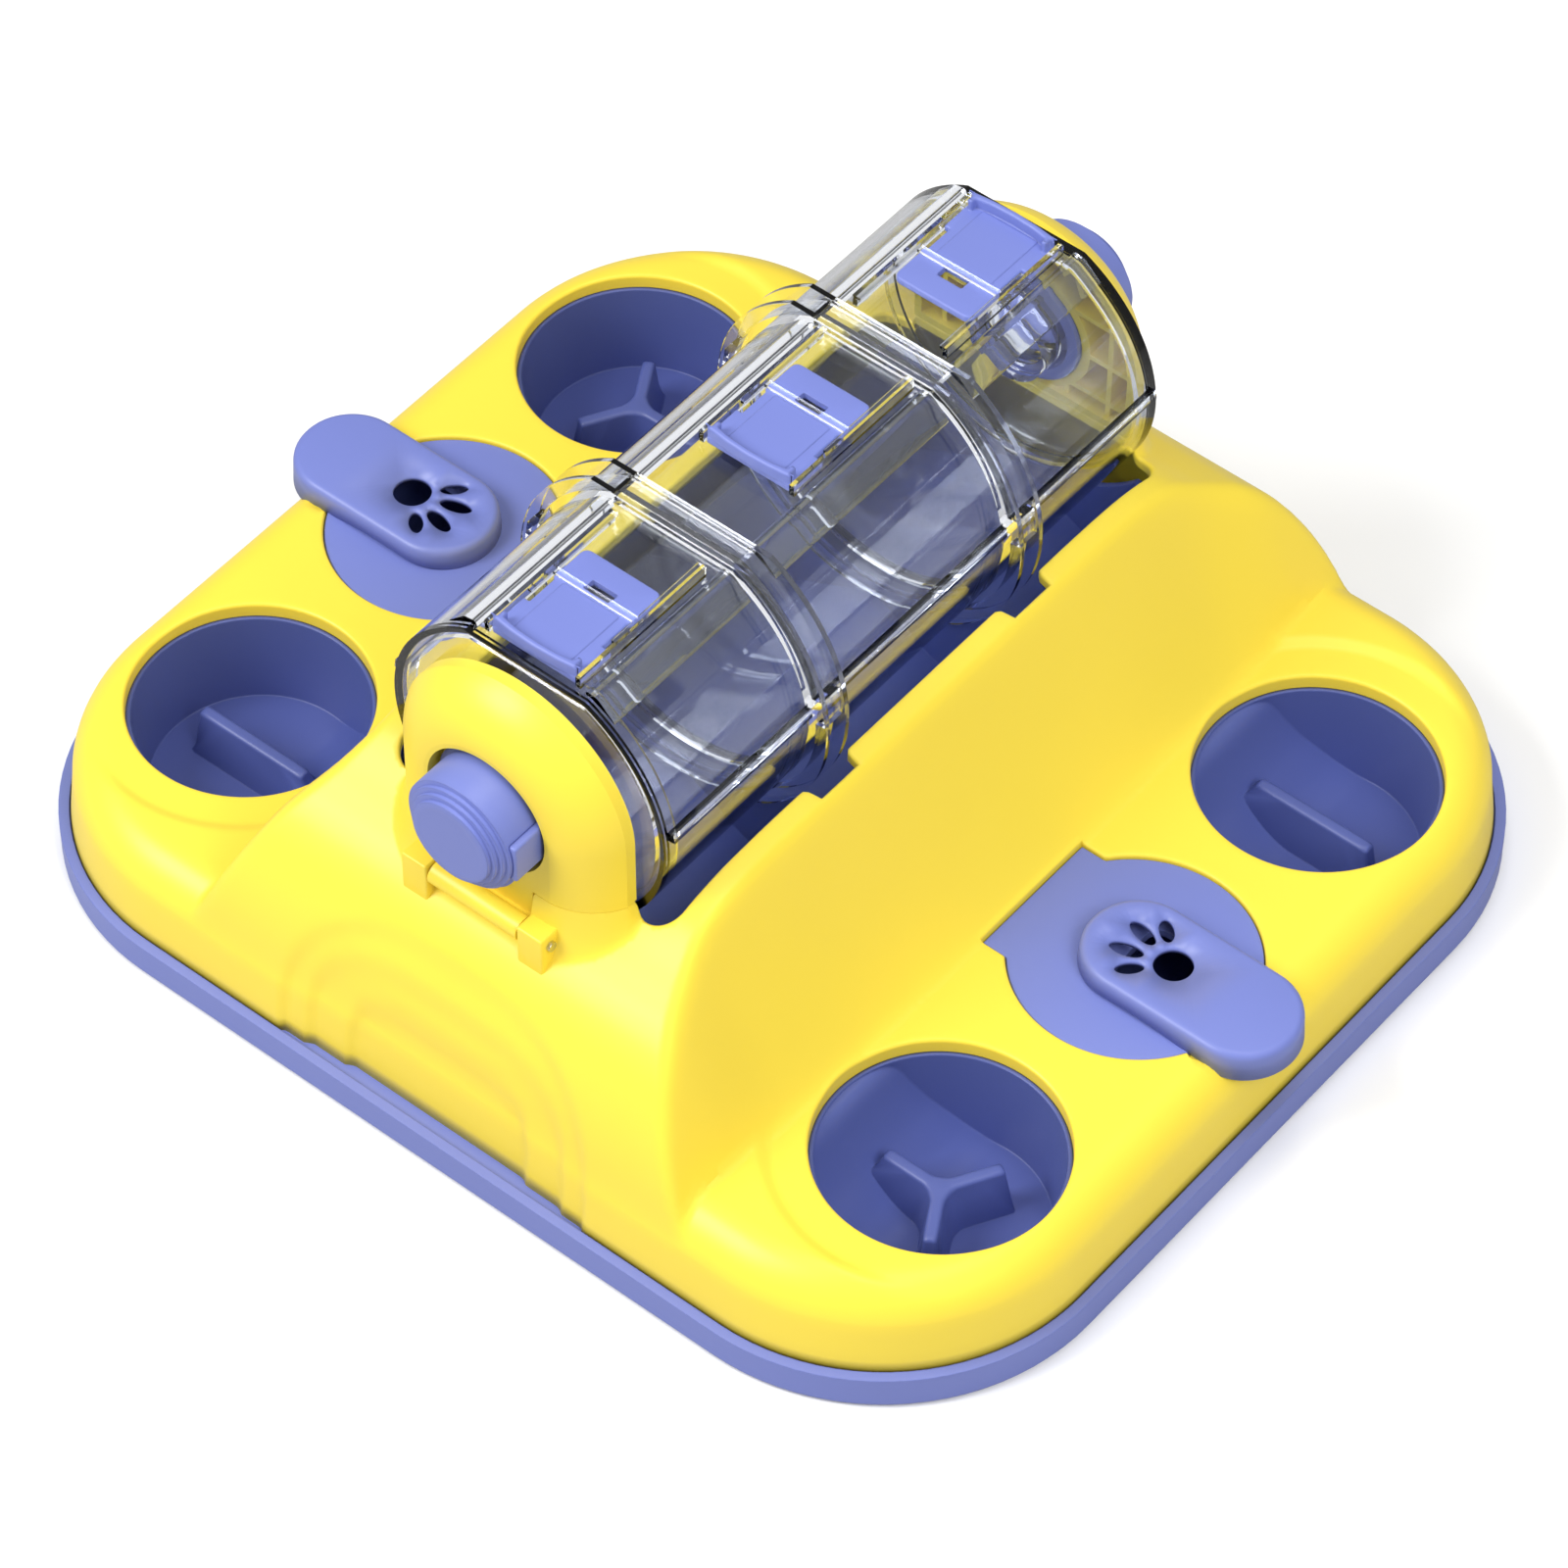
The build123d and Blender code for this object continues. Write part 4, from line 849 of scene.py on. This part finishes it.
def rib_parts(hump_way, arms):
    """Plan of a rib's foot, the rows up its leaning side and over its rounded top, and the flat on it."""
    angle = np.linspace(0, 2 * np.pi, 240, endpoint=False)
    steps = [(rib_draft, cup_floor_level)]
    for lean in rib_round_angles:
        steps.append((-rib_round * (1 - np.cos(lean)), rib_level - rib_round * (1 - np.sin(lean))))
    rows = []
    for grow, level in steps:
        reach = rib_reach(angle, grow, arms)
        x = reach * np.cos(angle)
        foot = scoop_level(x * hump_way) if grow == rib_draft else 0
        rows.append(np.stack([x, reach * np.sin(angle), np.maximum(foot, level + 0 * x)], axis=-1))
    top, faces = filled_plan(rows[-1][:, :2])
    return rows[0][:, :2], [band(rows), (at_level(top, rib_level), faces)]


def build_cup(name, centre, arms):
    """Cup round an axis: its floor and scoop inside the wall's foot, its leaning wall and its rib."""
    hump_way = -np.sign(centre[0])
    angle = np.linspace(0, 2 * np.pi, 220, endpoint=False)
    start = wall_start(angle)
    facing = np.stack([hump_way * np.cos(angle), np.sin(angle)], axis=-1)
    edge = facing * cup_radius(start)[:, None]
    held = np.maximum(start + 0.01, lip_bottom - edge_hold)
    rows = [at_level(facing * cup_radius(level)[:, None], level) for level in (start, held)]
    rows.append(at_level(facing * well_radius, lip_bottom))
    rib_foot, rib = rib_parts(hump_way, arms)
    across, along = np.meshgrid(cup_grid_x, cup_grid_y)
    loose = np.column_stack([hump_way * across.ravel(), along.ravel()])
    near_edge = edge - outward(edge) * 0.5
    near_rib = rib_foot + outward(rib_foot) * 0.5
    loose = loose[encloses(near_edge, *loose.T) & ~encloses(near_rib, *loose.T)]
    plan, faces = filled_plan(edge, [rib_foot], loose)
    surface = at_level(plan, scoop_level(plan[:, 0] * hump_way))
    surface[:len(edge), 2] = start
    parts = [(surface, faces), band(rows, flip=hump_way < 0), *rib]
    parts = [(points + (*centre, 0), part_faces) for points, part_faces in parts]
    cup = add_piece(name + "_shape", parts, painted_shade_blue_plastic, "base", [name])
    thicken(cup, cup_skin)


for end, side_y in (("front", -1), ("rear", 1)):
    for hand, side_x in (("left", -1), ("right", 1)):
        if side_x == side_y:
            rib_arms = [(-bar_half, bar_half, 0.0)]
        else:
            first = np.pi / 3 if side_x > 0 else 0.0
            turns = [first + third * 2 * np.pi / 3 for third in range(3)]
            rib_arms = [(-rib_half_width, arm_length, turn) for turn in turns]
        build_cup(f"well_cup_{end}_{hand}", (side_x * well_x, side_y * well_y), rib_arms)

# painted shade: the bins get the same darkened blue as the cups
dress(painted_shade_blue_plastic, "bin_cup_left", "bin_cup_right")

# --- Trough and drum ---------------------------------------------------------------------------
# The trough is a blue moulding under the drum, its blue darkened as painted shade. The drum's shells,
# partitions, end discs and rings are clear polished styrene, and the rings clamp the two shells together.
clear_tint = (0.93, 0.95, 0.99)
clear_shade = (0.64, 0.66, 0.70)
clear_roughness = 0.015
clear_ior = 1.49

clear_plastic = bpy.data.materials.new("clear_plastic")
clear_plastic.use_nodes = True
clear_tree = clear_plastic.node_tree
clear_shader = clear_tree.nodes["Principled BSDF"]
clear_shader.inputs["Base Color"].default_value = (*clear_tint, 1)
clear_shader.inputs["Roughness"].default_value = clear_roughness
clear_shader.inputs["IOR"].default_value = clear_ior
clear_shader.inputs["Transmission Weight"].default_value = 1
clear_way = clear_tree.nodes.new("ShaderNodeBsdfTransparent")
clear_way.inputs["Color"].default_value = (*clear_shade, 1)
clear_ray = clear_tree.nodes.new("ShaderNodeLightPath")
clear_choice = clear_tree.nodes.new("ShaderNodeMixShader")
link(clear_tree, clear_ray.outputs["Is Shadow Ray"], clear_choice.inputs[0])
link(clear_tree, clear_shader.outputs["BSDF"], clear_choice.inputs[1])
link(clear_tree, clear_way.outputs["BSDF"], clear_choice.inputs[2])
clear_output = clear_tree.nodes["Material Output"]
link(clear_tree, clear_choice.outputs["Shader"], clear_output.inputs["Surface"])

drum_nodes = [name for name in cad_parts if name.startswith("drum_")]
drum_nodes.remove("drum_trough")
# painted shade: the trough gets the cups' darkened blue
dress(painted_shade_blue_plastic, "drum_trough")
dress(clear_plastic, *drum_nodes)

# Clear rails run along both edges of the drum's flat, in three lengths between the rings. Their
# section is a wedge that lies on the shell.
flat_rail_section = (
    (17.8, 157.08), (18.3, 158.3), (18.9, 158.7), (21.8, 158.2), (22.5, 157.8), (27.2, 153.1),
    (27.5, 152.4), (25.9, 153.47), (24.2, 154.62), (22.3, 155.74), (19.85, 157.08),
)
flat_rail_spans = ((-99.6, -46.0), (-35.0, 35.0), (46.0, 99.6))

rails = []
for start_y, end_y in flat_rail_spans:
    for side in (-1, 1):
        x, z = np.array(flat_rail_section, float).T
        rows = [np.stack([side * x, 0 * x + y, z], axis=-1) for y in (start_y, end_y)]
        rails.append(band(rows, flip=side < 0))
        cap = np.arange(len(x))[None, :]
        rails.append((rows[0], cap[:, ::-side]))
        rails.append((rows[1], cap[:, ::side]))
add_piece("drum_flat_rails", rails, clear_plastic, "drum", merge=0.000005, sharp=25)

# --- Lids --------------------------------------------------------------------------------------
# Each lid is a thin blue moulding: a plate that fills its recess and turns on its straight edge,
# and a hollow stadium-shaped handle that reaches out over the shoulder. Paw-shaped air holes go
# through the handle into the bin under it.
lid_gap = 0.3
lid_low = 34.6
lid_high = 37.1
lid_edge = 0.45
handle_top = 44.0
handle_wall = 1.6
handle_draft = 0.35
handle_round = 2.0
handle_edge_profile = (
    (100, 37.0), (148.5, 37.0), (153, 36.0), (158, 35.0), (162, 34.6), (175, 34.6),
)
lid_opening = (15.5, 12.5, 4.0)  # half sizes and corner of the hole in the plate, under the handle
lid_opening_x = 134.0
paw_x = 133.4
paw_pad_radius = 5.5
toes = (  # lean in degrees, reach from the pad's middle, and the ellipse's two radii
    (44, 11.7, 4.1, 2.1), (15.5, 13.4, 5.0, 2.35), (-15.5, 13.4, 5.0, 2.35), (-44, 11.7, 4.1, 2.1),
)


def anticlockwise(loop):
    """Closed loop, turned round if it runs clockwise."""
    return loop if turning(loop) > 0 else loop[::-1]


def rounded_rim(loop, start, top, radius, draft=0.0):
    """Rows up a plate's edge: from a start height, leaning in by the draft, then a quarter round."""
    rows = [at_level(loop, start)]
    for lean in quarter_round:
        place = loop - outward(loop) * (draft + radius * (1 - np.cos(lean)))
        rows.append(at_level(place, top - radius * (1 - np.sin(lean))))
    return rows


def plan_face(loop, holes, level, flip=False):
    """Flat face at a height, inside a loop and outside its holes."""
    plan, faces = filled_plan(loop, holes)
    return at_level(plan, level), faces[:, ::-1] if flip else faces


def slab(loop, holes, bottom, top, radius):
    """Plate over a plan with a rounded upper edge and straight holes."""
    loop = anticlockwise(loop)
    rows = rounded_rim(loop, bottom, top, radius)
    upper_face = plan_face(rows[-1][:, :2], holes, top)
    lower_face = plan_face(loop, holes, bottom, flip=True)
    parts = [band(rows), upper_face, lower_face]
    for hole in holes:
        parts.append(band([at_level(hole, top), at_level(hole, bottom)]))
    return parts


def toe_loop(side, turn, reach, long_radius, short_radius):
    """Ellipse that points at the middle of the paw's pad."""
    round_it = np.linspace(0, 2 * np.pi, 28, endpoint=False)
    along = -side * (reach + long_radius * np.cos(round_it))
    aside = -side * short_radius * np.sin(round_it)
    lean = np.radians(turn)
    x = side * paw_x + along * np.cos(lean) - aside * np.sin(lean)
    y = along * np.sin(lean) + aside * np.cos(lean)
    return anticlockwise(np.stack([x, y], axis=-1))


handle_half_x = (handle_outer_x - handle_inner_x) / 2
for hand, side in (("left", -1), ("right", 1)):
    handle_place = (side * (handle_inner_x + handle_outer_x) / 2, 0)
    handle_loop = box_loop(handle_half_x, handle_half_y, handle_half_y - 0.01, spacing=1.0)
    handle_loop = handle_loop + handle_place
    handle_low = smooth_line(side * handle_loop[:, 0], handle_edge_profile)
    handle_rows = rounded_rim(handle_loop, handle_low, handle_top, handle_round, handle_draft)
    paw_pad = ring_loop(side * paw_x, 0, paw_pad_radius, count=40)
    paw_holes = [paw_pad, *[toe_loop(side, *toe) for toe in toes]]
    handle_parts = [band(handle_rows), plan_face(handle_rows[-1][:, :2], paw_holes, handle_top)]
    opening = box_loop(*lid_opening, spacing=1.5) + (side * lid_opening_x, 0)
    plate = slab(lid_recess_loop(side, -lid_gap), [opening], lid_low, lid_high, lid_edge)
    lid_body = f"{hand}_lid"
    add_piece(f"lid_{hand}_plate", plate, blue_plastic, lid_body, [f"lid_{hand}"])
    handle = add_piece(f"lid_{hand}_handle", handle_parts, blue_plastic, lid_body)
    thicken(handle, handle_wall)

# --- Doors -------------------------------------------------------------------------------------
# Three blue moulded doors slide on the drum's flat side between clear guides. Each has a bowed lip
# to push at one end, wrapped round its corners, a raised middle panel, a notch in both edges, and
# a tongue with a square hole at the other end.
door_low = 157.3
door_high = 159.3
door_lip_top = 162.9
door_edge = 0.5
door_panel_rise = 0.25
door_panel_edge = 0.2
door_panel_sink = 0.2
door_lip_edge = 0.75
door_lip_sink = 0.3
door_places = (("front", -99.0, 1), ("middle", -14.5, 1), ("rear", 98.0, -1))  # lip's place, way open

# Right halves of the plate, the panel, the hole and the lip, from the middle and from the lip's end,
# and how far each outline's corners are rounded
door_outline = ((14, 0.5), (14, 13), (12.1, 13), (12.1, 22.6), (12.9, 23.4), (12.9, 36))
door_corners = (1.0, 0.4, 0.4, 0.4, 0.4, 2.6)
door_panel = ((9.2, 2.4), (9.2, 23.0))
door_hole = ((4.2, 24.6), (4.2, 28.6))
door_lip_outside = ((13.1, 4.4), (13.1, 1.95), (13.95, 1.5), (13.95, 0.9), (7.5, 0.1), (0.0, -0.25))
door_lip_inside = ((11.6, 4.4), (11.6, 2.7), (7.0, 1.9), (0.0, 1.6))
door_lip_corners = (
    (0.6, 0.5, 0.3, 0.6, 1.5, 1.5, 1.5, 0.6, 0.3, 0.5, 0.6), (0.6, 0.6, 1.5, 1.5, 1.5, 0.6, 0.6),
)


def rounded_loop(corners, radii):
    """Closed loop through corners, each cut off by its own radius with a parabola."""
    corners = np.array(corners, float)
    radii = np.array(radii, float)
    sides = [np.roll(corners, 1, axis=0) - corners, np.roll(corners, -1, axis=0) - corners]
    ends = [corners + side * (radii / np.linalg.norm(side, axis=1))[:, None] for side in sides]
    part = np.linspace(0, 1, 7)[None, :, None]
    arcs = (1 - part) ** 2 * ends[0][:, None] + 2 * part * (1 - part) * corners[:, None]
    arcs = arcs + part**2 * ends[1][:, None]
    return arcs.reshape(-1, 2)


def both_sides(half):
    """Points of an outline's right half, followed by their mirror images in reverse.

    A last point that lies on the middle stays single.
    """
    half = np.array(half, float)
    mirrored = half[::-1] * (-1, 1)
    return np.vstack([half, mirrored[1:] if half[-1, 0] == 0 else mirrored])


def on_drum(loop, lip_y, way):
    """Door's loop, given from its lip, put on the drum's flat."""
    return anticlockwise(np.stack([loop[:, 0], lip_y + way * loop[:, 1]], axis=-1))


outline = rounded_loop(both_sides(door_outline), (*door_corners, *door_corners[::-1]))
panel = rounded_loop(both_sides(door_panel), [0.4] * 4)
hole = rounded_loop(both_sides(door_hole), [0.6] * 4)
lip_sides = np.vstack([both_sides(door_lip_outside), both_sides(door_lip_inside)[::-1]])
lip = rounded_loop(lip_sides, np.concatenate(door_lip_corners))
for place, lip_y, way in door_places:
    loops = [on_drum(loop, lip_y, way) for loop in (outline, hole, panel, lip)]
    door = slab(loops[0], [loops[1]], door_low, door_high, door_edge)
    panel_top = door_high + door_panel_rise
    door += slab(loops[2], [], door_high - door_panel_sink, panel_top, door_panel_edge)
    door += slab(loops[3], [], door_high - door_lip_sink, door_lip_top, door_lip_edge)
    door_body = f"{place}_door"
    add_piece(f"door_{place}_shape", door, blue_plastic, door_body, [f"door_{place}"])

# --- Brackets and knobs ------------------------------------------------------------------------
# The yellow moulded brackets fold down on steel pins and carry the drum between them. Each holds a
# blue moulded knob that slides in its boss, with three steps round its face, a key on one side that
# stops it turning, and a wider collar behind. The cone that the drum turns on is the frame's.
bracket_face_y = 119.0
drum_axis_z = 116.0
knob_profile = (
    (0.0, 12.9), (2.0, 13.0), (10.0, 13.75), (12.2, 13.8), (12.55, 13.7), (12.7, 13.4), (12.7, 12.6),
    (13.6, 12.6), (14.0, 12.5), (14.17, 12.2), (14.17, 11.4), (15.1, 11.4), (15.45, 11.3), (15.63, 11.0),
    (15.63, 10.2), (16.4, 10.2), (16.9, 10.0), (17.1, 9.5), (17.1, -2.6), (17.9, -2.9), (18.4, -3.3),
    (18.4, -5.8), (12.0, -5.8), (0.0, -5.8),
)
knob_skin = 0.06  # how far the cap stands off the frame's own steps
key_middle = (16.6, 3.65)  # from the axis, and out from the bracket's face
key_half = (1.6, 5.65, 6.3)
key_round = 0.7


def turned(profile, side):
    """Closed skin turned round the drum's axis from radii and distances out from a bracket's face,
    each with the skin's stand-off added."""
    angle = np.linspace(0, 2 * np.pi, 120, endpoint=False)
    radius, out = np.array(profile, float).T[:, :, None] + knob_skin
    rows = [radius * np.cos(angle), side * (bracket_face_y + out + 0 * angle)]
    rows = np.stack([*rows, drum_axis_z + radius * np.sin(angle)], axis=-1)
    return band(rows, flip=side > 0)


for end, side in (("front", -1), ("rear", 1)):
    key_place = (-side * key_middle[0], side * (bracket_face_y + key_middle[1]), drum_axis_z)
    knob = [turned(knob_profile, side), rounded_block(key_place, key_half, key_round)]
    add_piece(f"knob_{end}_cap", knob, blue_plastic, f"{end}_knob")
    dress(blue_plastic, f"pivot_knob_{end}")
    dress(yellow_plastic, f"end_bracket_{end}")
    dress(steel, f"hinge_pin_{end}")
